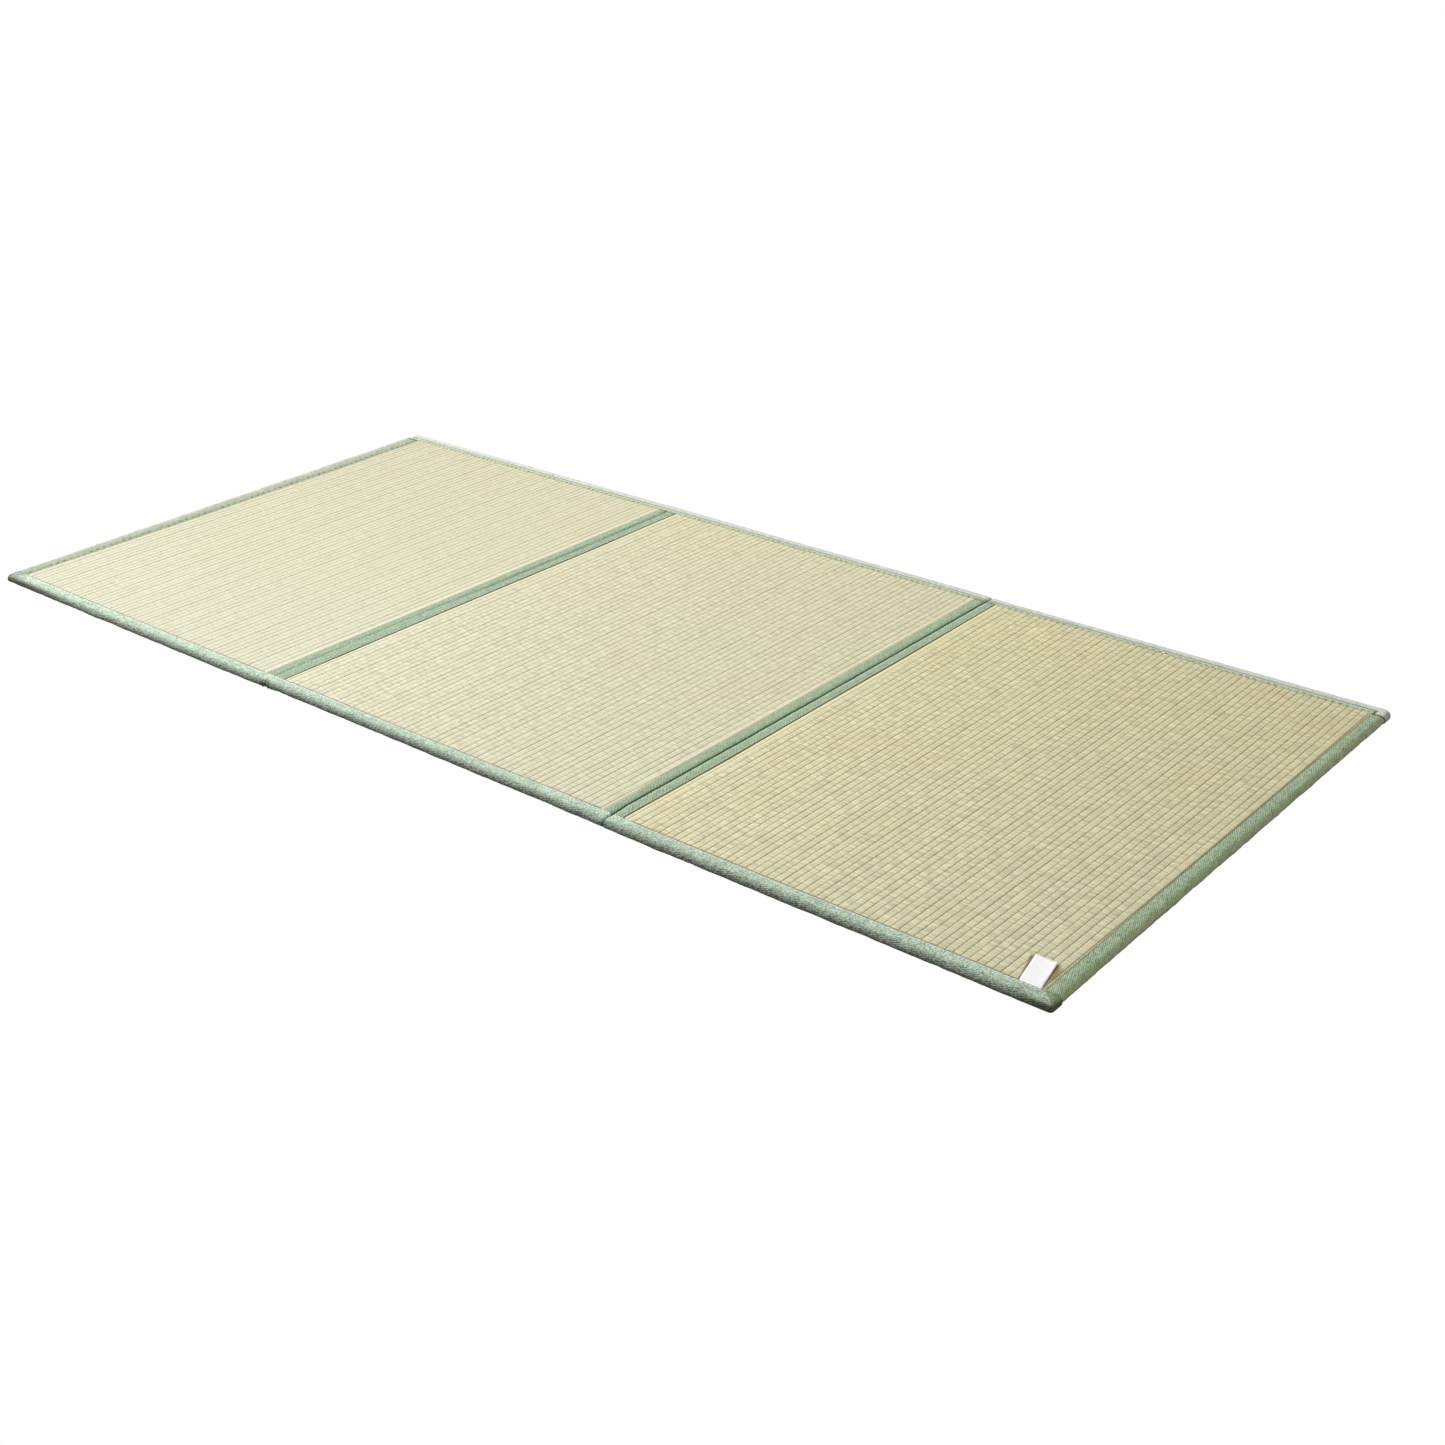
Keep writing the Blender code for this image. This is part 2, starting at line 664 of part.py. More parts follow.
def build_mat():
    clear_scene()
    mat = make_collection("tatami_mat")
    helpers = make_collection("helpers")
    sage = make_material("sage_cloth", SAGE_CLOTH)

    left_end = PanelSide(lambda y: -HALF_LENGTH, "edge_mm", LEFT_CORNERS, ())
    right_end = PanelSide(lambda y: HALF_LENGTH, "edge_mm", RIGHT_CORNERS, ())
    left_fold = PanelSide(
        lambda y: fold_value(LEFT_FOLD, "middle_mm", y), "open_bottom_mm", None, LEFT_FOLD
    )
    right_fold = PanelSide(
        lambda y: fold_value(RIGHT_FOLD, "middle_mm", y), "open_top_mm", None, RIGHT_FOLD
    )

    left_seams = (
        lambda y: end_seam("left_mm", y),
        lambda y: fold_value(LEFT_FOLD, "left_mm", y),
    )
    middle_seams = (
        lambda y: fold_value(LEFT_FOLD, "right_mm", y),
        lambda y: fold_value(RIGHT_FOLD, "left_mm", y),
    )
    right_seams = (
        lambda y: fold_value(RIGHT_FOLD, "right_mm", y),
        lambda y: end_seam("right_mm", y),
    )
    panels = (
        ("rush_panel_left", left_end, left_fold, left_seams, RUSH_PALE),
        ("rush_panel_middle", left_fold, right_fold, middle_seams, RUSH_MID),
        ("rush_panel_right", right_fold, right_end, right_seams, RUSH_OLIVE),
    )
    for name, left, right, seams, finish in panels:
        panel = make_panel(name, left, right, seams, mat, helpers, make_material(name, finish))
        shade(panel)
    combine(panel, make_label_pocket(helpers), "DIFFERENCE")

    shade(make_long_strip("binding_front", front_edge, FRONT_SEAM_Y, mat, sage))
    shade(make_long_strip("binding_back", back_edge, BACK_SEAM_Y, mat, sage))
    shade(make_end_strip("binding_left", "left_mm", -1, mat, sage))
    shade(make_end_strip("binding_right", "right_mm", 1, mat, sage))
    shade(make_fold_band("fold_band_left", LEFT_FOLD, False, mat, sage))
    shade(make_fold_band("fold_band_right", RIGHT_FOLD, True, mat, sage))
    shade(make_label(mat, make_material("label_cloth", WHITE_CLOTH)))


build_mat()
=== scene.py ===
"""Looks of the tri-fold tatami mat: ribbed rush faces, rolled binding cloth, stitches and a blank label.

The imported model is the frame. Each piece here stands for one of its nodes, in the same place and size.
X runs along the length, Y from the front edge to the back edge, and Z is up, with the floor at 0.
"""

import math
import random
from collections import namedtuple

import bpy
import numpy as np
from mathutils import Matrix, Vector, noise


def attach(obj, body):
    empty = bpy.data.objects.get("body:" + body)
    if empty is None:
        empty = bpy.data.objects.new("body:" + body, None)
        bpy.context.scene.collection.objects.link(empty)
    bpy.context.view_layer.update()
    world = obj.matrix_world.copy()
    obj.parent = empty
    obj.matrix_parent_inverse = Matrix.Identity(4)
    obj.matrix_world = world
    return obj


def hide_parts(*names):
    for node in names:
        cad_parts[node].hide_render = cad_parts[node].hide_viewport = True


MM = 0.001


def rows_of(kind, *rows):
    """Rows of a table, as named values of one kind."""
    return tuple(kind(*row) for row in rows)


# Sizes that repeat the frame's
HALF_LENGTH = 1003.5 * MM
CLOTH = 1.2 * MM
FLANGE_TOP = 11.9 * MM
HEM_TOP = 11.5 * MM
SHELF_TOP = 10.1 * MM
SEAM_GAP = 0.3 * MM
MIDDLE_Z = 6 * MM

EdgePoint = namedtuple("EdgePoint", "x_mm front_mm back_mm")
OUTLINE = rows_of(
    EdgePoint,
    (-1003.5, -494.8, 492.6), (-700.0, -495.1, 493.0), (-380.0, -495.3, 493.8), (-334.0, -493.2, 494.8),
    (-290.0, -492.0, 495.3), (-60.0, -491.8, 492.6), (205.0, -492.2, 494.8), (315.0, -492.6, 493.8),
    (370.0, -495.0, 490.2), (700.0, -494.8, 490.8), (1003.5, -495.2, 491.8),
)
CornerRadius = namedtuple("CornerRadius", "front_mm back_mm")
LEFT_CORNERS = CornerRadius(7.5, 6.0)
RIGHT_CORNERS = CornerRadius(5.0, 13.0)

# Inner edges of the long strips on top, where the rush begins
SeamPoint = namedtuple("SeamPoint", "x_mm front_mm back_mm")
LONG_SEAMS = rows_of(
    SeamPoint,
    (-1003.5, -472.0, 461.5), (-900.0, -472.7, 462.6), (-820.0, -473.5, 463.0), (-600.0, -473.7, 461.4),
    (-410.0, -473.3, 460.8), (-334.0, -471.9, 462.2), (-240.0, -470.7, 463.0), (-60.0, -472.7, 462.5),
    (140.0, -472.1, 463.0), (250.0, -470.7, 463.8), (340.0, -471.7, 463.8), (420.0, -472.7, 463.4),
    (620.0, -473.4, 462.2), (820.0, -472.7, 460.8), (1003.5, -472.5, 461.6),
)
EndPoint = namedtuple("EndPoint", "y_mm left_mm right_mm")
END_SEAMS = rows_of(
    EndPoint,
    (-500.0, -973.3, 981.0), (-230.0, -970.8, 980.8), (0.0, -968.4, 981.3), (230.0, -967.0, 981.6),
    (500.0, -967.9, 982.2),
)
FoldPoint = namedtuple("FoldPoint", "y_mm left_mm middle_mm right_mm")
LEFT_FOLD = rows_of(
    FoldPoint,
    (-500.0, -353.5, -334.8, -313.7), (-276.0, -350.0, -335.8, -312.4),
    (-113.0, -348.3, -334.4, -311.1), (0.0, -346.9, -331.4, -309.7), (213.0, -344.3, -327.8, -306.7),
    (500.0, -343.5, -327.3, -305.2),
)
RIGHT_FOLD = rows_of(
    FoldPoint,
    (-500.0, 320.9, 339.1, 356.5), (-440.0, 321.2, 336.5, 356.6), (-405.0, 321.4, 336.9, 357.3),
    (-380.0, 319.4, 337.3, 357.8), (-300.0, 319.3, 338.3, 359.2), (-170.0, 320.6, 339.3, 359.5),
    (0.0, 321.5, 340.5, 359.8), (210.0, 321.1, 340.6, 359.9), (500.0, 321.8, 339.9, 359.0),
)

# Sections of the rolled cloth, from its hem on top to its flat edge underneath
RollPoint = namedtuple("RollPoint", "inset_mm z_mm")
Roll = namedtuple("Roll", "width_mm top_points points")
FRONT_ROLL = Roll(
    22.0,
    6,
    rows_of(
        RollPoint,
        (21.6, 11.9), (20.0, 12.2), (17.6, 12.5), (14.5, 12.4), (10.5, 12.75), (7.5, 12.6), (4.8, 11.9),
        (2.4, 10.4), (0.6, 8.0), (-0.4, 5.2), (-0.5, 3.0), (0.1, 1.3), (1.4, 0.3), (4.0, 0.0),
        (8.0, 0.0),
    ),
)
BACK_ROLL = Roll(
    30.0,
    8,
    rows_of(
        RollPoint,
        (29.6, 11.8), (28.2, 12.1), (24.0, 12.4), (20.0, 12.1), (17.8, 11.6), (16.2, 11.9),
        (13.5, 12.7), (9.5, 12.9), (5.5, 12.0), (2.6, 10.2), (0.8, 7.8), (0.0, 5.0), (0.6, 2.4),
        (2.0, 0.6), (6.0, 0.0),
    ),
)
END_ROLL = Roll(
    26.0,
    5,
    rows_of(
        RollPoint,
        (25.5, 11.8), (23.5, 12.2), (18.0, 12.5), (12.5, 12.6), (9.0, 12.55), (5.5, 11.9), (2.8, 10.2),
        (1.0, 7.8), (0.3, 5.2), (1.2, 2.8), (3.2, 0.8), (6.5, 0.0),
    ),
)
SECTION_STEPS = 3
CORNER_STEPS = 8
CORNER_ROOM = 34.0 * MM
SMALLEST_TURN = 0.4 * MM
STRIP_STEP = 3.6 * MM
FOLD_REACH = 15.0 * MM
FOLD_STATIONS = (2.6, 3.7, 4.8, 5.9, 7.0, 8.1, 9.2, 10.4, 11.6, 13.0, 15.0)

# How a long strip is drawn down into a fold, by distance from the fold line
NotchPoint = namedtuple("NotchPoint", "offset_mm share draw_in_mm")
NOTCH = rows_of(
    NotchPoint,
    (0.0, 0.95, 4.5), (0.5, 0.88, 3.2), (0.9, 0.45, 1.6), (1.6, 0.18, 0.7), (3.0, 0.06, 0.3),
    (5.5, 0.01, 0.1), (10.0, 0.0, 0.0),
)
NOTCH_FLOOR = 1.6 * MM
NOTCH_CEILING = 10.6 * MM
CLOSED_NOTCH_SHARE = 0.3

# Top skins of the cloth over a fold, as half sections from the fold line outwards
SlotPoint = namedtuple("SlotPoint", "offset_mm z_mm")
OPEN_SLOT = rows_of(
    SlotPoint,
    (0.0, 1.6), (0.5, 2.4), (0.6, 5.5), (0.75, 8.4), (1.2, 10.4), (2.2, 11.7), (5.0, 12.4), (8.5, 12.6),
    (12.0, 12.4),
)
# Heights between which the open fold's gap is painted in shade, and the place and width of the painted shade
# along the closed fold's crease.
GAP_SHADE_TOP = 11.9 * MM
GAP_SHADE_LOW = 9.8 * MM
CREASE_PLACE = 1.7 * MM
CREASE_WIDTH = 2.2 * MM
CLOSED_VALLEY = rows_of(
    SlotPoint,
    (0.0, 11.3), (0.9, 11.4), (1.7, 11.4), (2.6, 11.9), (6.0, 12.3), (8.0, 12.3),
)

# Rush ribs: valleys along the middle of the mat, and how the rows lean and bow away from it
RibRow = namedtuple("RibRow", "first_mm pitch_mm")
LEFT_RIBS = RibRow(-920.95, 10.829)
MIDDLE_RIBS = RibRow(-267.54, 10.919)
RIGHT_RIBS = RibRow(400.74, 10.739)
LeanPoint = namedtuple("LeanPoint", "x_mm lean bow")
RIB_LEAN = rows_of(
    LeanPoint,
    (-955.0, 12.0, -3.0), (-455.0, 11.3, -3.0), (-310.0, 13.3, -1.0), (0.0, 8.5, -8.0),
    (310.0, 7.0, -14.0), (365.0, 4.0, -15.0), (865.0, 2.0, -10.0),
)
RIB_SHARES = (0.0, 0.06, 0.15, 0.32, 0.5, 0.68, 0.85, 0.94)
RIB_TOP = 12.5 * MM
RIB_DEPTH = 1.1 * MM
RIB_ROUNDING = 0.16
RIB_FLATNESS = 14
ROW_STEP = 8.0 * MM
CORE_INSET = 10.0 * MM
RUSH_REACH = 3.5 * MM
RUSH_UNDERSIDE = 8.3 * MM
RIB_STEPS = 0.14 * MM
RIB_WAVE = 0.12 * MM
RIB_WAVE_LENGTH = 70 * MM
PAD_WAVE = 0.12 * MM
PAD_WAVE_X = 120 * MM
PAD_WAVE_Y = 150 * MM
PAD_REACH = 14 * MM
PAD_EDGE_TOP = 1.4 * MM
PAD_LOW = 1.6 * MM
PAD_TOP = 8.0 * MM
NEAR_ROWS_MM = (-3.0, -1.8, -0.8, 0.0, 0.8, 1.6, 2.6, 4.0, 6.0)
FOLD_CORE_INSET = 6.0 * MM

LABEL_WIDTH = 29 * MM
LABEL_THICKNESS = 0.7 * MM
LABEL_ROOT_X = 962.3 * MM
LABEL_TIP_X = 951.6 * MM
LabelPoint = namedtuple("LabelPoint", "along_mm z_mm")
LABEL_PATH = rows_of(
    LabelPoint,
    (0.0, 11.5), (2.0, 11.9), (5.0, 13.3), (9.0, 13.6), (25.0, 13.3), (42.0, 13.5), (56.0, 14.4),
)
LABEL_LENGTH = LABEL_PATH[-1].along_mm * MM
LABEL_COLUMNS = 13
LABEL_CURL = 1.1 * MM
LABEL_RIPPLE = 0.12 * MM

STITCH_PITCH = 5.5 * MM
STITCH_LENGTH = 3.9 * MM
STITCH_WIDTH = 1.6 * MM
STITCH_HEIGHT = 0.9 * MM
STITCH_DIP = 0.35 * MM
STITCH_DIP_WIDTH = 1.6 * MM
STITCH_SIDES = 6
STITCH_WANDER = 0.4
STITCH_SKEW = 0.08
STITCH_SCALES = (0.85, 1.1)
FLAT_STITCH_Z = 12.0 * MM
STITCH_SECTIONS = ((-0.5, 0.25), (-0.28, 0.85), (0.0, 1.0), (0.28, 0.85), (0.5, 0.25))
END_STITCH_INSET = 2.4 * MM
HEM_STITCH_INSET = 0.6 * MM

# Unevenness of the cloth, its puckers at the closed fold, and its joints, with where and how strongly shade
# is painted in the puckers, the joint grooves and the back strip's groove
Bumps = namedtuple("Bumps", "size_mm height_mm seed")
CLOTH_BUMPS = (Bumps(32.0, 0.6, 3.0), Bumps(13.0, 0.42, 11.0), Bumps(5.5, 0.26, 23.0))
HEM_LIFT = 0.8 * MM
MITRE_REACH = 30 * MM
PUCKER_WIDTH = 6.0 * MM
PUCKER_REACH = 13.0 * MM
PUCKER_HEIGHT = 1.3 * MM
PUCKER_DARK_WIDTH = 1.6 * MM
END_JOINT_SHADE = 0.95
JOINT_ROWS = (5.4, 4.4, 3.4, 2.3, 1.1, 0.0)
GROOVE_ACROSS = 11.8 * MM
GROOVE_WIDTH = 1.3 * MM


def table_value(table, key, column, at):
    """Read a column of a table in millimetres at one place or many, given and returned in metres."""
    keys = [getattr(row, key) * MM for row in table]
    values = [getattr(row, column) * MM for row in table]
    return np.interp(at, keys, values)


def front_edge(x):
    return table_value(OUTLINE, "x_mm", "front_mm", x)


def back_edge(x):
    return table_value(OUTLINE, "x_mm", "back_mm", x)


def front_seam(x):
    return table_value(LONG_SEAMS, "x_mm", "front_mm", x)


def back_seam(x):
    return table_value(LONG_SEAMS, "x_mm", "back_mm", x)


def fold_value(fold, column, y):
    return table_value(fold, "y_mm", column, y)


def end_seam(column, y):
    return table_value(END_SEAMS, "y_mm", column, y)


def smooth_step(low, high, value):
    share = np.clip((value - low) / (high - low), 0.0, 1.0)
    return share * share * (3 - 2 * share)


def eased(low_mm, high_mm, value):
    """Smooth step of one value between two places given in millimetres."""
    return float(smooth_step(low_mm * MM, high_mm * MM, value))


def bell(value, width):
    return math.exp(-((value / width) ** 2))


def rounded_path(points, steps):
    """Points of a smooth curve through the given plane points, with some steps between each two."""
    points = np.array(points, float)
    padded = np.vstack([2 * points[0] - points[1], points, 2 * points[-1] - points[-2]])
    path = []
    for index in range(len(points) - 1):
        before, here, there, after = padded[index : index + 4]
        for step in range(steps):
            t = step / steps
            path.append(
                0.5
                * (
                    2 * here
                    + (there - before) * t
                    + (2 * before - 5 * here + 4 * there - after) * t**2
                    + (3 * here - before - 3 * there + after) * t**3
                )
            )
    path.append(points[-1])
    return np.array(path)


def wander(point, size, seed):
    """Smooth noise from -1 to 1 at a place, with lumps of one size."""
    return noise.noise(Vector(point) / size + Vector((seed, seed * 1.7, -seed)))


# Meshes


def mesh_object(name, verts, faces, weave, material):
    mesh = bpy.data.meshes.new(name)
    mesh.from_pydata([tuple(vert) for vert in verts], [], faces)
    attribute = mesh.attributes.new("weave", "FLOAT_VECTOR", "POINT")
    attribute.data.foreach_set("vector", np.array(weave, np.float32).ravel())
    mesh.materials.append(material)
    mesh.update()
    item = bpy.data.objects.new(name, mesh)
    bpy.context.scene.collection.objects.link(item)
    mesh.shade_smooth()
    return item


def grid_faces(rows, columns, start=0, flip=False):
    faces = []
    for row in range(rows - 1):
        for column in range(columns - 1):
            first = start + row * columns + column
            corners = (first, first + 1, first + columns + 1, first + columns)
            faces.append(corners[::-1] if flip else corners)
    return faces


def tube_faces(first, levels, size):
    """Faces of a closed tube through rings of points, with a cap at both ends."""
    faces = []
    for level in range(levels - 1):
        low, high = first + level * size, first + (level + 1) * size
        for place in range(size):
            following = (place + 1) % size
            faces.append((low + place, low + following, high + following, high + place))
    last = first + (levels - 1) * size
    return faces + [tuple(range(first + size - 1, first - 1, -1)), tuple(range(last, last + size))]


def thicken(item, thickness):
    """Give an open skin the thickness of its cloth, inwards."""
    step = item.modifiers.new("cloth", "SOLIDIFY")
    step.thickness = thickness
    step.offset = -1.0


def face_outwards(item, middle_z):
    """Flip an open skin whose upper faces look down."""
    mesh = item.data
    upper = [face for face in mesh.polygons if face.center.z > middle_z]
    if sum(face.normal.z * face.area for face in upper) < 0:
        mesh.flip_normals()


# Binding cloth


def roll_section(roll, seam_inset):
    """Section of a rolled strip, with its flat part squeezed or stretched to reach a seam."""
    squeeze = seam_inset / (roll.width_mm * MM)
    points = [(seam_inset, HEM_TOP)]
    for index, point in enumerate(roll.points):
        share = squeeze if index < roll.top_points else 1.0
        points.append((point.inset_mm * MM * share, point.z_mm * MM))
    path = rounded_path(points, SECTION_STEPS)
    path[:, 1] = np.maximum(path[:, 1], 0.0)
    return np.vstack([path, [((path[-1, 0] + seam_inset) / 2, 0.0), (seam_inset, 0.0)]])


def section_lengths(path):
    return np.concatenate([[0.0], np.cumsum(np.linalg.norm(np.diff(path, axis=0), axis=1))])


def notched(x, inset, z, fold_x, open_top, width):
    offsets = [point.offset_mm * MM for point in NOTCH]
    distance = abs(x - fold_x)
    share = np.interp(distance, offsets, [point.share for point in NOTCH])
    draw_in = np.interp(distance, offsets, [point.draw_in_mm * MM for point in NOTCH])
    if open_top:
        z -= share * max(0.0, z - NOTCH_FLOOR)
    else:
        share *= CLOSED_NOTCH_SHARE
        draw_in *= CLOSED_NOTCH_SHARE
        z += share * max(0.0, NOTCH_CEILING - z)
    outer_share = min(1.0, max(0.0, 1.0 - inset / width))
    return inset + draw_in * outer_share, z


def corner_path(inset, seam_inset, radius, reach):
    """Points of one ring round an outer corner, as distances in from the end and from the long edge."""
    turn = min(max(radius - inset, SMALLEST_TURN), seam_inset - inset)
    along_end = seam_inset - inset - turn
    structured = [(inset, inset + turn + along_end * (1 - step / 2)) for step in range(2)]
    for step in range(CORNER_STEPS + 1):
        angle = math.pi / 2 * step / CORNER_STEPS
        structured.append((inset + turn * (1 - math.cos(angle)), inset + turn * (1 - math.sin(angle))))
    structured.append(((inset + turn + reach) / 2, inset))
    structured.append((reach, inset))
    lengths = np.cumsum([0.0] + [math.dist(a, b) for a, b in zip(structured, structured[1:])])
    even = np.linspace(0.0, lengths[-1], len(structured))
    blend = min(1.0, max(0.0, inset / seam_inset)) ** 2
    places = (1 - blend) * lengths + blend * even
    from_end = np.interp(places, lengths, [point[0] for point in structured])
    from_edge = np.interp(places, lengths, [point[1] for point in structured])
    return list(zip(from_end, from_edge))


LongStrip = namedtuple("LongStrip", "name edge seam roll stitch_mm bump_share")


def fold_places(y):
    """Where the folds cross a line along the mat, and whether each is open on top."""
    return ((fold_value(LEFT_FOLD, "middle_mm", y), False), (fold_value(RIGHT_FOLD, "middle_mm", y), True))


def band_lift(x, y):
    """How much the cloth of the folds lifts a strip's hem, from 0 to 1."""
    lift = 0.0
    for fold in (LEFT_FOLD, RIGHT_FOLD):
        beside = min(x - fold_value(fold, "left_mm", y), fold_value(fold, "right_mm", y) - x)
        lift = max(lift, eased(-2, 2, beside))
    return lift


def strip_point(strip, x, inset, z, folds):
    """A point of a long strip's skin, from its place on the nominal section."""
    width = strip.roll.width_mm * MM
    inward = 1 if strip.edge is front_edge else -1
    for fold_x, open_top in folds:
        inset, z = notched(x, inset, z, fold_x, open_top, width)
    hem = float(smooth_step(width - 6 * MM, width, inset))
    z += HEM_LIFT * hem * band_lift(x, strip.seam(x))
    depth = abs(strip.seam(x) - strip.edge(x))
    outer = min(inset, 8 * MM)
    flat = max(0.0, inset - 8 * MM) * (depth - 8 * MM) / (width - 8 * MM)
    return (x, strip.edge(x) + inward * (outer + flat), z)


def long_strip_rows(strip, corners):
    """Rings of points of a long strip's outer skin, with how far each lies along and across the cloth."""
    front = strip.edge is front_edge
    inward = 1 if front else -1
    width = strip.roll.width_mm * MM
    radii = [corner.front_mm * MM if front else corner.back_mm * MM for corner in corners]
    reach = CORNER_ROOM
    folds = fold_places(strip.seam(0.0))
    count = int(2 * (HALF_LENGTH - reach) / STRIP_STEP)
    stations = np.linspace(-HALF_LENGTH + reach, HALF_LENGTH - reach, count)[1:-1].tolist()
    for fold_x, _ in folds:
        stations = [x for x in stations if abs(x - fold_x) > FOLD_REACH + STRIP_STEP / 2]
        stations += [fold_x + side * point.offset_mm * MM for point in NOTCH[:-2] for side in (-1, 1)]
        stations += [fold_x + side * step * MM for step in FOLD_STATIONS for side in (-1, 1)]
    stations = sorted(set(stations))
    section = roll_section(strip.roll, width)
    rows, weave = [], []
    for (inset, z), across in zip(section, section_lengths(section)):
        row, threads = [], []
        for side, radius in zip((-1, 1), radii):
            edge_y = strip.edge(side * HALF_LENGTH)
            stretch = abs(strip.seam(side * HALF_LENGTH) - edge_y) / width
            path = corner_path(inset, width, radius, reach)
            points = [
                (side * (HALF_LENGTH - from_end), edge_y + inward * from_edge * stretch, z)
                for from_end, from_edge in path
            ]
            lengths = np.cumsum([0.0] + [math.dist(a, b) for a, b in zip(points, points[1:])])
            along = [side * (HALF_LENGTH - reach + lengths[-1] - length) for length in lengths]
            if side < 0:
                row += points
                threads += along
                row += [strip_point(strip, x, inset, z, folds) for x in stations]
                threads += stations
            else:
                row += points[::-1]
                threads += along[::-1]
        rows.append(row)
        shades = [shade_of(strip, point, across, folds) for point in row]
        weave.append([(place, across, shade) for place, shade in zip(threads, shades)])
    return rows, weave, folds


def shade_of(strip, point, across, folds):
    """How dark the cloth is painted at a point, from 0 to 1: painted shade in a fold's notch and puckers, on
    the front strip's lower side and corners, in the back strip's groove and towards the right end, and
    darker where the folds' cloth reaches over the back strip.
    """
    x, y, z = point
    front = strip.edge is front_edge
    shades = [0.0]
    # Painted shade down in the open fold's notch, and in the closed fold's puckers on the front strip's
    # lower side.
    for fold_x, open_top in folds:
        offset = abs(x - fold_x)
        if open_top:
            shades.append(1.0 - eased(0.3, 1.5, offset))
        elif front:
            low = eased(12.3, 9.6, z)
            crease = 0.5 + 0.5 * math.cos(2 * math.pi * (x - fold_x) / PUCKER_WIDTH)
            shades.append(low * bell(offset, PUCKER_REACH) * (0.15 + 0.85 * crease))
            shades.append(low * bell(offset, PUCKER_DARK_WIDTH))
    from_end = HALF_LENGTH - abs(x)
    # Painted shade on the front strip: on its lower side and top near both ends, and darker towards the
    # right end.
    if front:
        low = eased(12.0, 7.5, z)
        if x < 0:
            shades += [0.88 * low * eased(230, 40, from_end), 0.45 * eased(52, 14, from_end)]
        else:
            shades += [0.9 * low * eased(80, 15, from_end), 0.28 * eased(150, 20, from_end)]
            shades.append(0.12 * eased(300, 400, x))
    elif x > 0:
        # Painted shade in the back strip's groove, stronger towards the right end.
        groove = bell(across - GROOVE_ACROSS, GROOVE_WIDTH)
        shades += [0.3 * groove * eased(200, 500, x), 0.85 * groove * eased(150, 30, from_end)]
        shades.append(0.4 * band_lift(x, y) * eased(10, 7, across))
    return max(shades)


def cloth_bumps(point):
    """How far the uneven cloth stands out at a place."""
    return sum(row.height_mm * MM * wander(point, row.size_mm * MM, row.seed) for row in CLOTH_BUMPS)


def roughen(item, folds, stitch_across=None, bump_share=1.0):
    """Push the cloth's skin in and out a little, and draw it in at its stitches and its puckers."""
    mesh = item.data
    mesh.update()
    normals = [vert.normal.copy() for vert in mesh.vertices]
    threads = np.zeros(len(mesh.vertices) * 3, np.float32)
    mesh.attributes["weave"].data.foreach_get("vector", threads)
    threads = threads.reshape(-1, 3)
    for vert, normal, (_, across, _) in zip(mesh.vertices, normals, threads):
        point = vert.co.copy()
        free = eased(1.5, 9, across)
        push = cloth_bumps(point) * (free * bump_share)
        if stitch_across is not None:
            push -= STITCH_DIP * bell(across - stitch_across, STITCH_DIP_WIDTH)
        for fold_x, open_top in folds:
            offset = point.x - fold_x
            near = bell(offset, PUCKER_REACH)
            if near > 0.01 and not open_top:
                low = eased(10, 5, point.z)
                push += PUCKER_HEIGHT * near * low * math.cos(2 * math.pi * offset / PUCKER_WIDTH)
        vert.co = point + normal * push
        vert.co.z = max(vert.co.z, 0.0)
    mesh.update()


def make_long_strip(strip, material, corner_material=None):
    rows, weave, folds = long_strip_rows(strip, (LEFT_CORNERS, RIGHT_CORNERS))
    verts = [point for row in rows for point in row]
    threads = [thread for row in weave for thread in row]
    item = mesh_object(strip.name, verts, grid_faces(len(rows), len(rows[0])), threads, material)
    if corner_material:
        item.data.materials.append(corner_material)
        for face in item.data.polygons:
            x, y, _ = face.center
            from_end = HALF_LENGTH - x
            if from_end < MITRE_REACH and y - strip.edge(x) > from_end:
                face.material_index = 1
    face_outwards(item, MIDDLE_Z)
    roughen(item, folds, strip.stitch_mm * MM, strip.bump_share)
    thicken(item, CLOTH)
    return item


def make_end_strip(name, column, side, material):
    start = front_seam(side * HALF_LENGTH) + SEAM_GAP
    stop = back_seam(side * HALF_LENGTH) - SEAM_GAP
    ys = np.linspace(start, stop - JOINT_ROWS[0] * MM, int((stop - start) / STRIP_STEP))
    ys = np.append(ys, [stop - row * MM for row in JOINT_ROWS[1:]])
    verts, threads = [], []
    for y in ys:
        section = roll_section(END_ROLL, HALF_LENGTH - abs(end_seam(column, y)))
        lengths = section_lengths(section)
        verts += [(side * (HALF_LENGTH - inset), y, z) for inset, z in section]
        # Painted shade in the groove where the end strip meets the back strip.
        shade = END_JOINT_SHADE * eased(4.4, 2.4, stop - y)
        threads += [(y, across, shade) for across in lengths]
    item = mesh_object(name, verts, grid_faces(len(ys), len(section)), threads, material)
    face_outwards(item, MIDDLE_Z)
    roughen(item, (), 3 * MM)
    thicken(item, CLOTH)
    return item


def fold_half(table, reach):
    """Half of a fold's skin, from the fold line out to a seam."""
    half = [(min(point.offset_mm * MM, reach - 2.6 * MM), point.z_mm * MM) for point in table]
    return half + [(reach - 1.2 * MM, FLANGE_TOP), (reach, HEM_TOP)]


def fold_skin(table, left, right):
    """Skin across a fold, from the left seam to the right one, as offsets and heights."""
    left_half = [(-offset, z) for offset, z in fold_half(table, left)]
    return left_half[::-1] + fold_half(table, right)[1:]


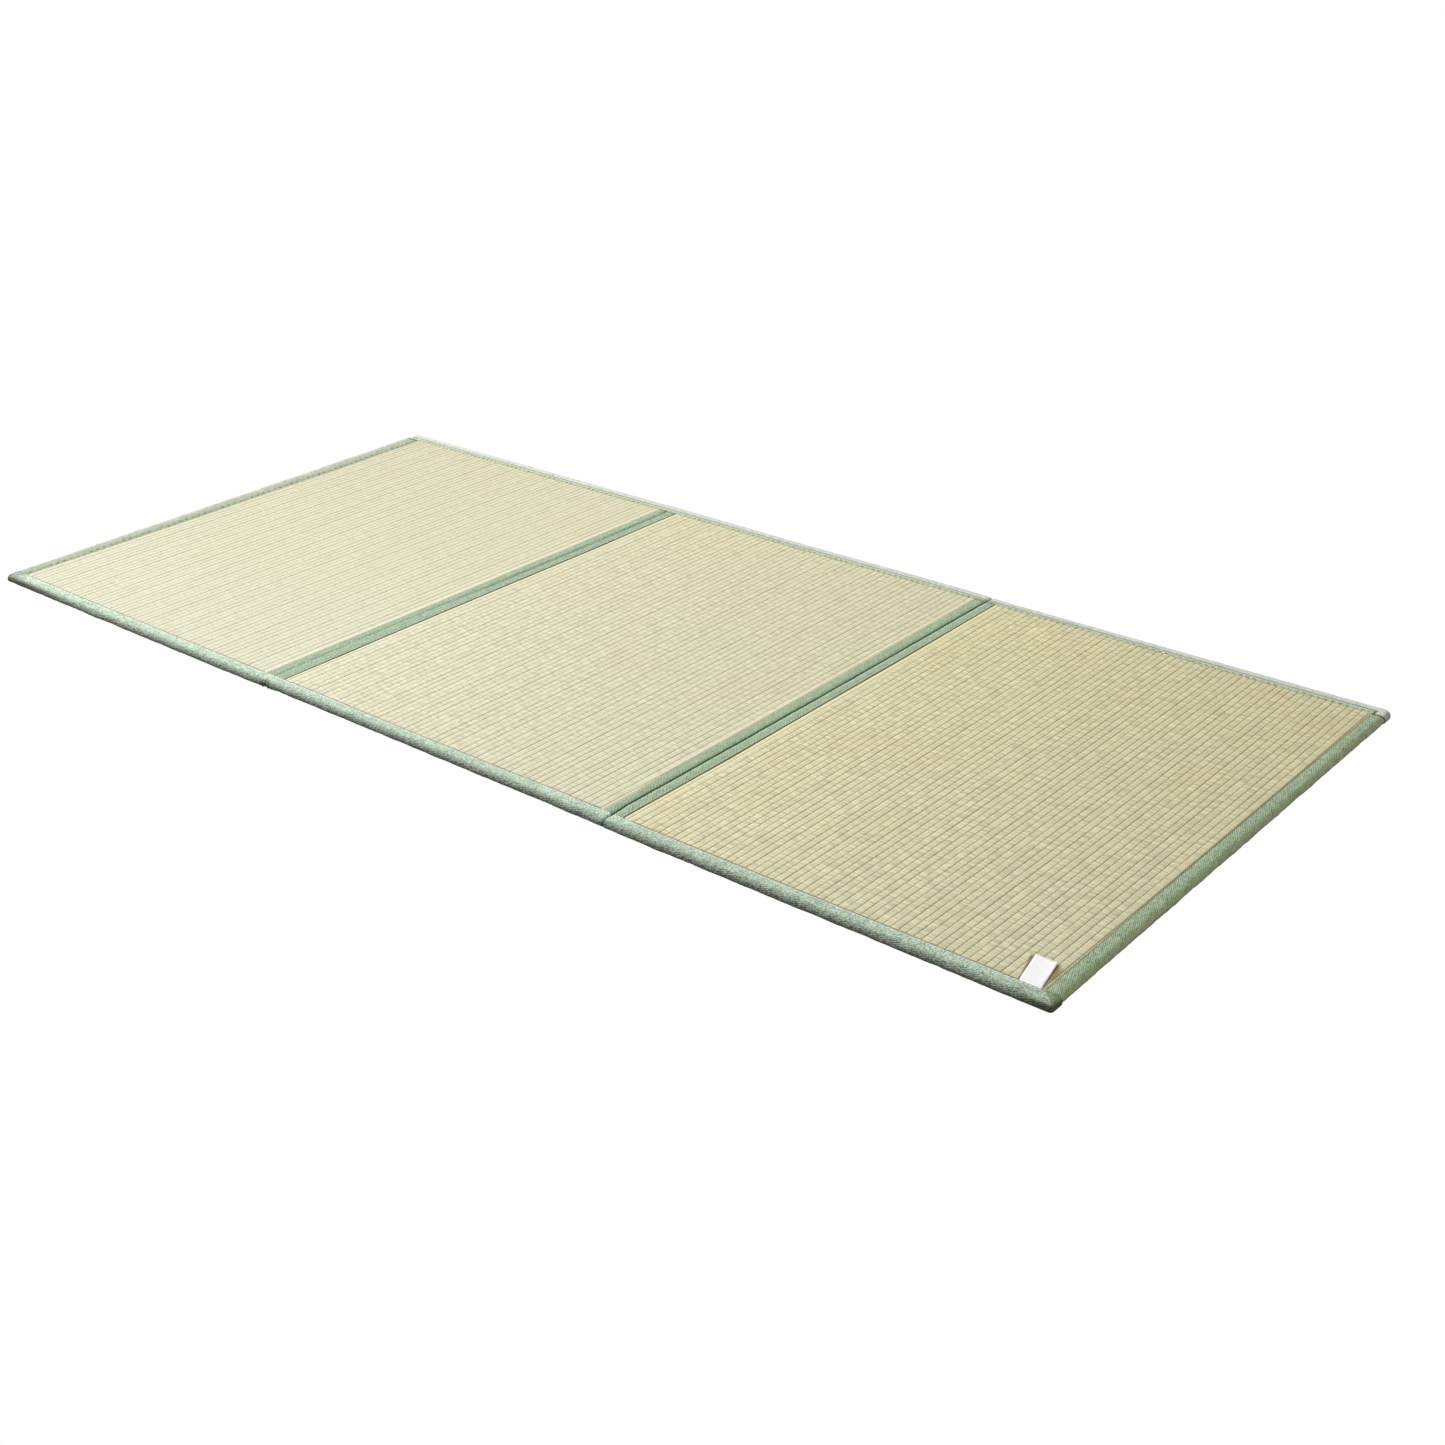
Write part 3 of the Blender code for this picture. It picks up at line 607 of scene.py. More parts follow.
def make_fold_band(name, fold, open_top, material):
    """Cloth of one fold: the skin with the gap, and the plain one on the other face."""
    middle_x = fold_value(fold, "middle_mm", 0.0)
    start = front_seam(middle_x) + SEAM_GAP
    stop = back_seam(middle_x) - SEAM_GAP
    ys = np.linspace(start, stop, int((stop - start) / STRIP_STEP))
    verts, threads, faces = [], [], []
    for is_top in (True, False):
        table = OPEN_SLOT if is_top == open_top else CLOSED_VALLEY
        first = len(verts)
        for y in ys:
            middle = fold_value(fold, "middle_mm", y)
            left = middle - fold_value(fold, "left_mm", y)
            right = fold_value(fold, "right_mm", y) - middle
            path = rounded_path(fold_skin(table, left, right), 2)
            lengths = section_lengths(path)
            for (offset, z), width in zip(path, lengths):
                edge_share = min(width, lengths[-1] - width)
                height = z
                gap_shade = 0.0
                if is_top:
                    rise = cloth_bumps((middle + offset, y, z))
                    height += 0.8 * rise * eased(1.5, 8, edge_share)
                    # Painted shade down in the open fold's gap, and along the closed fold's crease.
                    gap_shade = float(smooth_step(GAP_SHADE_TOP, GAP_SHADE_LOW, z))
                    if not open_top:
                        crease = bell(offset - CREASE_PLACE, CREASE_WIDTH)
                        gap_shade = 0.95 * crease * float(smooth_step(-0.22, 0.06, y))
                else:
                    height = max(0.0, FLANGE_TOP - z)
                verts.append((middle + offset, y, height))
                from_hem = width if offset < 0 else RAMP_SPAN * MM - (lengths[-1] - width)
                threads.append((y, from_hem, gap_shade))
        faces += grid_faces(len(ys), len(path), first, flip=not is_top)
    item = mesh_object(name, verts, faces, threads, material)
    thicken(item, CLOTH)
    return item


# Rush


Panel = namedtuple("Panel", "name node slot ribs left right")
Side = namedtuple("Side", "seam core rim")


def end_side(column, side, rim):
    """Side of a panel at an end of the mat: its seam, its pad's edge and its paler rim."""
    return Side(lambda y: end_seam(column, y), lambda y: side * (HALF_LENGTH - CORE_INSET), rim)


def fold_side(fold, column, side, rim):
    """Side of a panel at a fold."""
    return Side(
        lambda y: fold_value(fold, column, y),
        lambda y: fold_value(fold, "middle_mm", y) + side * FOLD_CORE_INSET,
        rim,
    )


def rib_shift(x, y):
    """How far a rib lies to the right of where it crosses the middle of the mat."""
    keys = [point.x_mm * MM for point in RIB_LEAN]
    lean = np.interp(x, keys, [point.lean for point in RIB_LEAN])
    bow = np.interp(x, keys, [point.bow for point in RIB_LEAN])
    return (lean * y + bow * y * y) * MM


def label_start():
    return front_seam(LABEL_ROOT_X) + SEAM_GAP


def label_centre(along):
    return LABEL_ROOT_X + (LABEL_TIP_X - LABEL_ROOT_X) * along / LABEL_LENGTH


def label_height(along):
    return np.interp(along, [p.along_mm * MM for p in LABEL_PATH], [p.z_mm * MM for p in LABEL_PATH])


def inside_distance(panel, x, y):
    """How far a place lies inside the cloth's edges that frame a panel's rush."""
    across = np.minimum(x - panel.left.seam(y), panel.right.seam(y) - x)
    return np.minimum(across, np.minimum(y - front_seam(x), back_seam(x) - y))


def rush_height(x, y, rib, inside):
    """Height of the rush face: crowned ribs of slightly uneven height, pressed down at the cloth's edges."""
    share = rib - np.floor(rib)
    number = np.floor(rib)
    beside = np.abs(2 * share - 1)
    crown = 1 - RIB_ROUNDING * beside**2 - (1 - RIB_ROUNDING) * beside**RIB_FLATNESS
    uneven = RIB_STEPS * np.sin(number * 2.4) + RIB_WAVE * np.sin(number * 1.1 + y / RIB_WAVE_LENGTH)
    rib_top = RIB_TOP - RIB_DEPTH + RIB_DEPTH * crown + uneven * crown
    rib_top += PAD_WAVE * np.sin(x / PAD_WAVE_X + 1.3) * np.cos(y / PAD_WAVE_Y)
    free = smooth_step(-0.9 * MM, 1.5 * MM, inside)
    height = SHELF_TOP + (rib_top - SHELF_TOP) * free
    along = y - label_start()
    beside = np.abs(x - label_centre(along)) - LABEL_WIDTH / 2
    under = smooth_step(4 * MM, 0.5 * MM, beside) * smooth_step(60 * MM, 57 * MM, along)
    limit = label_height(along) - LABEL_THICKNESS - 0.2 * MM
    return np.where(under > 0, np.minimum(height, limit + (1 - under) * 3 * MM), height)


def rush_rows():
    near = np.array(NEAR_ROWS_MM) * MM
    low = table_value(LONG_SEAMS, "x_mm", "front_mm", 0.0)
    high = table_value(LONG_SEAMS, "x_mm", "back_mm", 0.0)
    inner = np.linspace(low + 10 * MM, high - 10 * MM, int((high - low) / ROW_STEP))
    return np.concatenate([low + near, inner, high - near[::-1]])


def plan_ring(inset_x, inset_y, z, left, right):
    """Four-sided ring of points in plan at one height."""
    low_y, high_y = front_seam(0.0) - inset_y, back_seam(0.0) + inset_y
    ys = np.linspace(low_y, high_y, 9)
    shares = np.linspace(0, 1, 9)
    low, high = left(ys[0]) + inset_x, right(ys[0]) - inset_x
    front = [(low + (high - low) * share, ys[0], z) for share in shares[:-1]]
    right_side = [(right(y) - inset_x, y, z) for y in ys[:-1]]
    low, high = left(ys[-1]) + inset_x, right(ys[-1]) - inset_x
    back = [(high - (high - low) * share, ys[-1], z) for share in shares[:-1]]
    left_side = [(left(y) + inset_x, y, z) for y in ys[:0:-1]]
    return front + right_side + back + left_side


def rim_tone(panel, x, y):
    """How pale the rush is beside a cloth band, from 0 to 1; below 0 it only has no dark line there. On a
    band's right the paleness is painted highlight where the rush rises from under the cloth; on its left it
    is pale hem thread.
    """
    before = x - panel.left.seam(y)
    after = panel.right.seam(y) - x
    left = eased(14, 8, before)
    if panel.left.rim > 0:
        left *= eased(1.5, 3, before)
    return left * panel.left.rim + eased(6.5, 3, after) * panel.right.rim


def make_rush_panel(panel, rush, backing):
    """Ribbed rush face over a plain pad, whose underside shows between the cloth's lower edges."""
    pitch = panel.ribs.pitch_mm * MM
    first_valley = panel.ribs.first_mm * MM
    ys = rush_rows()
    seams_left = panel.left.seam(ys)
    seams_right = panel.right.seam(ys)
    numbers = np.arange(-80, 80)
    ribs = (numbers[:, None] + np.array(RIB_SHARES)).ravel()
    columns = first_valley + ribs * pitch
    lies_in = []
    for x in columns:
        places = x + rib_shift(x, ys)
        past_left = (places > seams_left - RUSH_REACH).any()
        lies_in.append(past_left and (places < seams_right + RUSH_REACH).any())
    keep = columns[lies_in]
    rib = ribs[lies_in]
    verts, threads = [], []
    for y in ys:
        xs = keep + rib_shift(keep, y)
        inside = inside_distance(panel, xs, y)
        heights = rush_height(xs, y, rib, inside)
        verts.append((panel.left.core(y), y, SHELF_TOP))
        threads.append((rib[0], y, 0.0))
        verts += list(zip(xs, [y] * len(xs), heights))
        threads += list(zip(rib, [y] * len(xs), inside))
        verts.append((panel.right.core(y), y, SHELF_TOP))
        threads.append((rib[-1], y, 0.0))
    width = len(keep) + 2
    faces = grid_faces(len(ys), width)
    ring = list(range(width))
    ring += [row * width + width - 1 for row in range(1, len(ys))]
    ring += [(len(ys) - 1) * width + column for column in range(width - 2, -1, -1)]
    ring += [row * width for row in range(len(ys) - 2, 0, -1)]
    skirt = len(verts)
    for index in ring:
        x, y, _ = verts[index]
        verts.append((x, y, RUSH_UNDERSIDE))
        threads.append(threads[index])
    for place in range(len(ring)):
        following = (place + 1) % len(ring)
        faces.append((ring[following], ring[place], skirt + place, skirt + following))
    faces.append(tuple(range(skirt + len(ring) - 1, skirt - 1, -1)))
    rush_faces = len(faces)
    pad_rings = (
        plan_ring(SEAM_GAP, -SEAM_GAP, 0.0, panel.left.seam, panel.right.seam),
        plan_ring(SEAM_GAP, -SEAM_GAP, PAD_EDGE_TOP, panel.left.seam, panel.right.seam),
        plan_ring(0.0, PAD_REACH, PAD_LOW, panel.left.core, panel.right.core),
        plan_ring(0.0, PAD_REACH, PAD_TOP, panel.left.core, panel.right.core),
    )
    size = len(pad_rings[0])
    first = len(verts)
    for points in pad_rings:
        verts += points
        threads += [(x, y, 0.0) for x, y, _ in points]
    faces += tube_faces(first, len(pad_rings), size)
    item = mesh_object(panel.name, verts, faces, threads, rush)
    item.data.materials.append(backing)
    rims = item.data.attributes.new("rim", "FLOAT", "POINT")
    rims.data.foreach_set("value", [rim_tone(panel, x, y) for x, y, _ in verts])
    for face in item.data.polygons[rush_faces:]:
        face.material_index = 1
        face.use_smooth = False
    return item


# Stitches and label


def add_bead(verts, faces, threads, place, along, normal, length):
    """One short stitch: a closed capsule with six sides, lying along a direction."""
    along = Vector(along).normalized()
    normal = Vector(normal).normalized()
    side = along.cross(normal)
    first = len(verts)
    for offset, scale in STITCH_SECTIONS:
        for corner in range(STITCH_SIDES):
            angle = 2 * math.pi * corner / STITCH_SIDES
            verts.append(
                Vector(place)
                + along * length * offset
                + side * (math.cos(angle) * scale * STITCH_WIDTH / 2)
                + normal * (math.sin(angle) * scale * STITCH_HEIGHT / 2)
            )
            threads.append((offset, angle, 0.0))
    faces.extend(tube_faces(first, len(STITCH_SECTIONS), STITCH_SIDES))


def stitch_line(verts, faces, threads, points, normal, rng):
    """A row of stitches along a polyline, a little uneven in length and place."""
    points = [Vector(point) for point in points]
    lengths = np.cumsum([0.0] + [(b - a).length for a, b in zip(points, points[1:])])
    total = lengths[-1]
    for number in range(int(total / STITCH_PITCH)):
        at = (number + 0.5) * STITCH_PITCH + rng.uniform(-STITCH_WANDER, STITCH_WANDER) * MM
        index = min(int(np.searchsorted(lengths, at)) - 1, len(points) - 2)
        index = max(index, 0)
        direction = points[index + 1] - points[index]
        share = (at - lengths[index]) / direction.length
        place = points[index].lerp(points[index + 1], share)
        skew = Vector([rng.uniform(-STITCH_SKEW, STITCH_SKEW) for _ in range(2)] + [0])
        size = STITCH_LENGTH * rng.uniform(*STITCH_SCALES)
        add_bead(verts, faces, threads, place, direction.normalized() + skew, normal, size)


def make_stitches(name, lines, material, seed):
    rng = random.Random(seed)
    verts, faces, threads = [], [], []
    for points in lines:
        stitch_line(verts, faces, threads, points, (0, 0, 1), rng)
    return mesh_object(name, verts, faces, threads, material)


def make_label(material):
    rows = rounded_path([(p.along_mm * MM, p.z_mm * MM) for p in LABEL_PATH], 5)
    verts, threads = [], []
    for along, z in rows:
        rise = along / LABEL_LENGTH
        ripple = LABEL_RIPPLE * math.sin(along / (6 * MM)) * rise
        for column in range(LABEL_COLUMNS):
            across = column / (LABEL_COLUMNS - 1) - 0.5
            curl = LABEL_CURL * rise * (abs(across) * 2) ** 3 * (1.0 if across > 0 else 0.4)
            x = label_centre(along) + across * LABEL_WIDTH
            verts.append((x, label_start() + along, z + curl + ripple))
            threads.append((x, along, 0.0))
    item = mesh_object("label", verts, grid_faces(len(rows), LABEL_COLUMNS), threads, material)
    face_outwards(item, 0.0)
    thicken(item, LABEL_THICKNESS)
    return item


# Materials


class Nodes:
    """Short way to lay out a material's nodes."""

    def __init__(self, name):
        self.material = bpy.data.materials.new(name)
        self.material.use_nodes = True
        self.tree = self.material.node_tree
        self.shader = self.tree.nodes["Principled BSDF"]

    def add(self, kind, **settings):
        node = self.tree.nodes.new("ShaderNode" + kind)
        for key, value in settings.items():
            setattr(node, key, value)
        return node

    def link(self, source, target):
        self.tree.links.new(source, target)

    def feed(self, socket, value):
        if hasattr(value, "links"):
            self.link(value, socket)
        else:
            socket.default_value = value

    def math(self, operation, first, second=0.0):
        node = self.add("Math", operation=operation)
        self.feed(node.inputs[0], first)
        self.feed(node.inputs[1], second)
        return node.outputs[0]

    def times(self, first, second):
        return self.math("MULTIPLY", first, second)

    def plus(self, first, second):
        return self.math("ADD", first, second)

    def per(self, first, second):
        return self.math("DIVIDE", first, second)

    def total(self, *parts):
        """Sum of values, each given with its share."""
        result = 0.0
        for value, share in parts:
            result = self.plus(result, self.times(value, share))
        return result

    def vector(self, operation, first, second=(0.0, 0.0, 0.0)):
        node = self.add("VectorMath", operation=operation)
        self.feed(node.inputs[0], first)
        self.feed(node.inputs[1], second)
        return node.outputs

    def parts(self, vector):
        node = self.add("SeparateXYZ")
        self.link(vector, node.inputs[0])
        return node.outputs

    def join(self, x, y, z):
        node = self.add("CombineXYZ")
        for socket, value in zip(node.inputs, (x, y, z)):
            self.feed(socket, value)
        return node.outputs[0]

    def noise(self, vector, scale, detail=2.0, rough=0.5):
        node = self.add("TexNoise")
        self.link(vector, node.inputs["Vector"])
        node.inputs["Scale"].default_value = scale
        node.inputs["Detail"].default_value = detail
        node.inputs["Roughness"].default_value = rough
        return node.outputs["Fac"]

    def spread(self, value, low, high, to_low=0.0, to_high=1.0):
        node = self.add("MapRange")
        node.clamp = True
        self.feed(node.inputs["Value"], value)
        for key, number in zip(("From Min", "From Max", "To Min", "To Max"), (low, high, to_low, to_high)):
            node.inputs[key].default_value = number
        return node.outputs["Result"]

    def mix(self, factor, first, second, blend="MIX"):
        node = self.add("Mix", data_type="RGBA", blend_type=blend)
        self.feed(node.inputs["Factor"], factor)
        sockets = [socket for socket in node.inputs if socket.type == "RGBA"]
        for socket, value in zip(sockets, (first, second)):
            self.feed(socket, (*value, 1.0) if isinstance(value, tuple) else value)
        return [socket for socket in node.outputs if socket.type == "RGBA"][0]

    def bump(self, height, distance, strength=1.0):
        node = self.add("Bump")
        self.link(height, node.inputs["Height"])
        node.inputs["Distance"].default_value = distance
        node.inputs["Strength"].default_value = strength
        self.link(node.outputs["Normal"], self.shader.inputs["Normal"])

    def finish(self, colour, roughness):
        self.link(colour, self.shader.inputs["Base Color"])
        self.shader.inputs["Roughness"].default_value = roughness
        return self.material

    def two_tones(self, grain, colour, share):
        """One colour, darker by a share where a fine noise is low."""
        return self.mix(self.spread(grain, 0.3, 0.7), scaled(colour, share), colour)

    def weave(self):
        node = self.add("Attribute", attribute_name="weave")
        return self.parts(node.outputs["Vector"])

    def place(self):
        return self.add("TexCoord").outputs["Object"]


RushTone = namedtuple(
    "RushTone", "mean tan contrast valley low_x high_x low_gain high_gain stained"
)
STEM = 1.9 * MM
STEM_BUNDLE = 4.5 * MM
RUSH_SPREAD = 0.26
RUSH_BACK_LIGHT = (0.985, 0.97, 0.93)
RUSH_FRONT_LIGHT = (1.015, 1.03, 1.075)
RUSH_RELIEF = 1.0 * MM
VALLEY_SHADE_TINT = (0.50, 0.45, 0.30)
EDGE_SHADOW_AND_STAIN = 0.38
STAIN_PLACE = (0.9700, -0.4420, 0.0)
STAIN_SIZE = (0.0085, 0.0210, 1.0)
STAIN = (0.29, 0.20, 0.045)
LABEL_SHADE = (0.16, 0.13, 0.06)


def scaled(colour, share):
    return tuple(value * share for value in colour)


def rush_material(name, tone):
    """Dry rush: stems across the ribs in streaks and tan near the cloth, with painted light: shade in the
    thin valleys, highlights beside them and beside the bands, a shadow line at the cloth's edge and beside
    the label, and brightness changing along and across the mat.
    """
    n = Nodes(name)
    rib, along, inside = n.weave()
    share = n.math("FRACT", rib)
    from_middle = n.math("ABSOLUTE", n.math("SUBTRACT", share, 0.5))
    number = n.times(n.math("FLOOR", rib), 7.3)
    stem_tone = n.noise(n.join(n.times(rib, 0.35), n.per(along, STEM), number), 1.0, 1.0)
    bundle_place = n.join(n.times(rib, 0.3), n.per(along, STEM_BUNDLE), number)
    bundle_tone = n.noise(bundle_place, 1.0, 1.0)
    run_tone = n.noise(n.join(n.times(rib, 0.25), n.per(along, 2.2 * MM), 7.0), 1.0, 1.0)
    tone_sum = n.total((stem_tone, 1.0), (bundle_tone, 0.15), (run_tone, 0.35))
    change = RUSH_SPREAD * tone.contrast
    dark_stem, pale_stem = scaled(tone.mean, 1 - change), scaled(tone.mean, 1 + change)
    colour = n.mix(n.spread(tone_sum, 0.63, 0.87), dark_stem, pale_stem)
    broad = n.noise(n.place(), 6.0, 3.0)
    colour = n.mix(n.spread(broad, 0.52, 0.74, 0.0, 0.3), colour, tone.tan)
    if tone.stained:
        rim_tan = n.times(n.spread(inside, 16 * MM, 2 * MM), n.spread(run_tone, 0.46, 0.62))
        colour = n.mix(n.times(rim_tan, 0.35), colour, tone.tan)
    # Paler stems at the rib flanks beside the valleys: painted highlight.
    valley_flank_highlight = n.times(n.spread(from_middle, 0.26, 0.36), n.spread(stem_tone, 0.55, 0.68))
    colour = n.mix(n.times(valley_flank_highlight, 0.5 * tone.contrast), colour, scaled(tone.mean, 1.38))
    # Thin dark valleys between the ribs: painted shade in the grooves, with a warm tint.
    valley_place = n.join(number, n.per(along, 5 * MM), 3.0)
    valley_tone = n.noise(valley_place, 1.0, 2.0)
    valley = n.spread(from_middle, 0.43, 0.475)
    depth = n.times(valley, n.spread(valley_tone, 0.35, 0.6, 0.35 * tone.valley, tone.valley))
    valley_shade_colour = tuple(value * tint for value, tint in zip(tone.mean, VALLEY_SHADE_TINT))
    colour = n.mix(depth, colour, valley_shade_colour)
    rim = n.add("Attribute", attribute_name="rim").outputs["Fac"]
    # Dark line where the rush meets the cloth: painted shadow of the hem's edge over a dark stain along the
    # seam, left out where a rim is set.
    edge = n.spread(inside, 1.9 * MM, 0.6 * MM, 0.0, 0.9)
    edge = n.times(edge, n.spread(n.math("ABSOLUTE", rim), 0.0, 0.5, 1.0, 0.0))
    colour = n.mix(edge, colour, scaled(tone.mean, EDGE_SHADOW_AND_STAIN))
    # Paler rush beside the bands: painted highlight on a band's right, pale hem thread on its left.
    colour = n.mix(n.times(rim, 0.8), colour, scaled(tone.mean, 1.32))
    east, north, _ = n.parts(n.place())
    # Painted light: each panel's brightness changes along the mat, and the rush is brighter and bluer
    # towards the front.
    painted_light = n.spread(east, tone.low_x, tone.high_x, tone.low_gain, tone.high_gain)
    colour = n.mix(1.0, colour, painted_light, "MULTIPLY")
    colour = n.mix(1.0, colour, n.mix(n.spread(north, 0.46, -0.46), RUSH_BACK_LIGHT, RUSH_FRONT_LIGHT), "MULTIPLY")
    if tone.stained:
        from_stain = n.vector("DIVIDE", n.vector("SUBTRACT", n.place(), STAIN_PLACE)[0], STAIN_SIZE)[0]
        distance = n.vector("LENGTH", from_stain)["Value"]
        colour = n.mix(n.spread(distance, 1.25, 0.7, 0.0, 0.95), colour, STAIN)
        # Painted shadow of the raised label on the rush beside its two long edges.
        lean = (LABEL_TIP_X - LABEL_ROOT_X) / LABEL_LENGTH
        root = LABEL_ROOT_X - lean * label_start()
        middle = n.plus(n.times(north, lean), root)
        offset = n.math("SUBTRACT", east, middle)
        end = label_start() + LABEL_LENGTH
        half = LABEL_WIDTH / 2
        right_line = n.spread(offset, half + 2.6 * MM, half + 0.8 * MM, 0.0, 0.8)
        rise = n.spread(north, label_start(), end, 0.0, 4.5 * MM)
        left_line = n.spread(n.plus(offset, rise), -half - 2.2 * MM, -half - 0.8 * MM, 0.0, 0.8)
        label_shadow = n.times(right_line, left_line)
        label_shadow = n.times(label_shadow, 1.25)
        label_shadow = n.times(label_shadow, n.spread(north, end + 1 * MM, end - 3 * MM))
        colour = n.mix(label_shadow, colour, LABEL_SHADE)
    n.bump(n.total((stem_tone, 0.9), (run_tone, 0.6)), RUSH_RELIEF * tone.contrast)
    return n.finish(colour, 0.6)


Weave = namedtuple(
    "Weave",
    "twill_mm slope twill_depth mottle_depth soil_low dot_at_mm dot_mm dot_half_mm dot_depth relief_mm",
)
SHADE = (0.022, 0.042, 0.008)
# Colour of the dark dots: painted shade at the stitch holes.
DOT_SHADE = (0.10, 0.13, 0.06)
RAMP_SPAN = 50.0
WARM_YARN = (1.10, 1.02, 0.84)
COOL_YARN = (0.88, 0.98, 1.14)


def cloth_material(name, bands, weave, low_dark):
    """Woven binding cloth: coloured by how far it lies from its hem, with a twill, mottling and darker
    speckle lower down, and with painted shade along its bottom edge, in dots along the hem and where its
    shade value is set.
    """
    n = Nodes(name)
    along, across, shade = n.weave()
    place = n.place()
    _, _, height = n.parts(place)
    ramp = n.add("ValToRGB")
    n.link(n.per(across, RAMP_SPAN * MM), ramp.inputs["Fac"])
    stops = ramp.color_ramp.elements
    while len(stops) < len(bands):
        stops.new(1.0)
    for stop, (distance, *colour) in zip(stops, bands):
        stop.position = distance / RAMP_SPAN
        stop.color = (*colour, 1.0)
    diagonal = n.plus(along, n.times(across, weave.slope))
    twill = n.math("SINE", n.times(diagonal, 2 * math.pi / (weave.twill_mm * MM)))
    strand = n.join(n.per(diagonal, weave.twill_mm * 0.4 * MM), n.per(across, 6 * MM), 0.0)
    yarn = n.noise(strand, 1.0, 2.0)
    mottle = n.noise(place, 210.0, 2.0, 0.6)
    fine = n.noise(place, 520.0, 1.0)
    patch = n.noise(place, 75.0, 2.0)
    grain = n.noise(n.join(n.per(along, 3.6 * MM), n.per(across, 2.0 * MM), 0.0), 1.0, 1.0)
    tone = n.plus(n.times(twill, weave.twill_depth * 0.8), 1.0)
    tone = n.plus(tone, n.spread(yarn, 0.34, 0.66, -weave.twill_depth, weave.twill_depth))
    for speck in (mottle, fine, grain):
        tone = n.plus(tone, n.spread(speck, 0.36, 0.64, -weave.mottle_depth, weave.mottle_depth))
    tone = n.plus(tone, n.spread(patch, 0.3, 0.7, -0.08, 0.08))
    colour = n.mix(1.0, ramp.outputs["Color"], tone, "MULTIPLY")
    hue = n.mix(n.spread(yarn, 0.36, 0.64), WARM_YARN, COOL_YARN)
    colour = n.mix(min(1.0, weave.twill_depth * 6), colour, n.mix(1.0, colour, hue, "MULTIPLY"))
    # Darker lower down: speckled darkening on the cloth's lower side, and painted shade along its bottom
    # edge.
    speckle = n.total((mottle, 0.4), (grain, 0.6))
    low = n.spread(height, 11.8 * MM, 4.0 * MM, 0.0, 0.2)
    colour = n.mix(n.spread(n.plus(speckle, low), 0.58, 0.68, 0.0, weave.soil_low), colour, low_dark)
    under = n.spread(height, 2.6 * MM, 0.8 * MM, 0.0, 0.75)
    colour = n.mix(under, colour, low_dark)
    # Rows of dark dots along the hem: painted shade at the stitch holes and under the hem's lip.
    beat = n.math("COSINE", n.times(along, 2 * math.pi / (weave.dot_mm * MM)))
    beside = n.math("ABSOLUTE", n.math("SUBTRACT", across, weave.dot_at_mm * MM))
    dot_half = weave.dot_half_mm * MM
    row = n.spread(beside, (weave.dot_half_mm + 0.8) * MM, dot_half, 0.0, weave.dot_depth)
    dot_shade = n.times(n.spread(beat, -0.2, 0.4), row)
    stretch = n.noise(n.join(n.per(along, 35 * MM), 0.0, 0.0), 1.0, 1.0)
    colour = n.mix(n.times(dot_shade, n.spread(stretch, 0.42, 0.56, 0.35, 1.0)), colour, DOT_SHADE)
    # Painted shade from the shade value: notches, puckers, creases, grooves and joints, and darker where the
    # folds' cloth reaches over the back strip.
    colour = n.mix(n.times(shade, 0.97), colour, SHADE)
    n.shader.inputs["Sheen Weight"].default_value = 0.1
    n.bump(n.total((twill, 0.15), (mottle, 1.3), (yarn, 0.8), (grain, 1.2)), weave.relief_mm * MM)
    return n.finish(colour, 0.8)


def thread_material(name, colour):
    n = Nodes(name)
    return n.finish(n.two_tones(n.noise(n.place(), 900.0, 1.0), colour, 0.8), 0.6)


def label_material(name, colour):
    n = Nodes(name)
    _, along, _ = n.weave()
    n.bump(n.math("SINE", n.times(along, 2 * math.pi / (0.9 * MM))), 0.1 * MM, 0.4)
    return n.finish(n.two_tones(n.noise(n.place(), 300.0, 2.0), colour, 0.93), 0.75)


def backing_material(name, colour):
    """Plain pressed fabric on the underside."""
    n = Nodes(name)
    fibre = n.noise(n.place(), 180.0, 4.0, 0.7)
    n.bump(fibre, 0.4 * MM, 0.5)
    return n.finish(n.two_tones(fibre, colour, 0.86), 0.9)


# Stage, light and camera


def make_stage():
    """Pale floor that reads as white, and the dim surface that the cloth's lower side faces."""
    reach = 30.0
    corners = [(-reach, -reach), (reach, -reach), (reach, reach), (-reach, reach)]
    for name, z, glow in (("floor", -0.5 * MM, 1.0), ("dim_floor", -1.5 * MM, 0.0)):
        mesh = bpy.data.meshes.new(name)
        mesh.from_pydata([(x, y, z) for x, y in corners], [], [(0, 1, 2, 3)])
        item = bpy.data.objects.new(name, mesh)
        bpy.context.scene.collection.objects.link(item)
        material = bpy.data.materials.new(name)
        material.use_nodes = True
        shader = material.node_tree.nodes["Principled BSDF"]
        shader.inputs["Roughness"].default_value = 1.0
        shader.inputs["Specular IOR Level"].default_value = 0.0
        if glow:
            shader.inputs["Base Color"].default_value = (0.0, 0.0, 0.0, 1.0)
            shader.inputs["Emission Color"].default_value = (1.0, 1.0, 1.0, 1.0)
            shader.inputs["Emission Strength"].default_value = glow
            item.visible_diffuse = False
            item.visible_glossy = False
            item.visible_shadow = False
        else:
            shader.inputs["Base Color"].default_value = (0.25, 0.25, 0.24, 1.0)
            item.visible_camera = False
        mesh.materials.append(material)


Lamp = namedtuple("Lamp", "name place aim size power colour")
LAMPS = (Lamp("window", (-4.55, -1.0, 3.4), (0.0, 0.0, 0.0), 2.2, 315.0, (1.0, 0.99, 0.97)),)
WORLD_STRENGTH = 0.62
SENSOR_WIDTH_MM = 36.0
LENS_MM = 50.41
SIDE_SHIFT = 0.0973
CAMERA_PLACE = (1.8599, -2.2573, 1.3047)
CAMERA_ANGLES_DEG = (63.725, 0.582, 41.125)


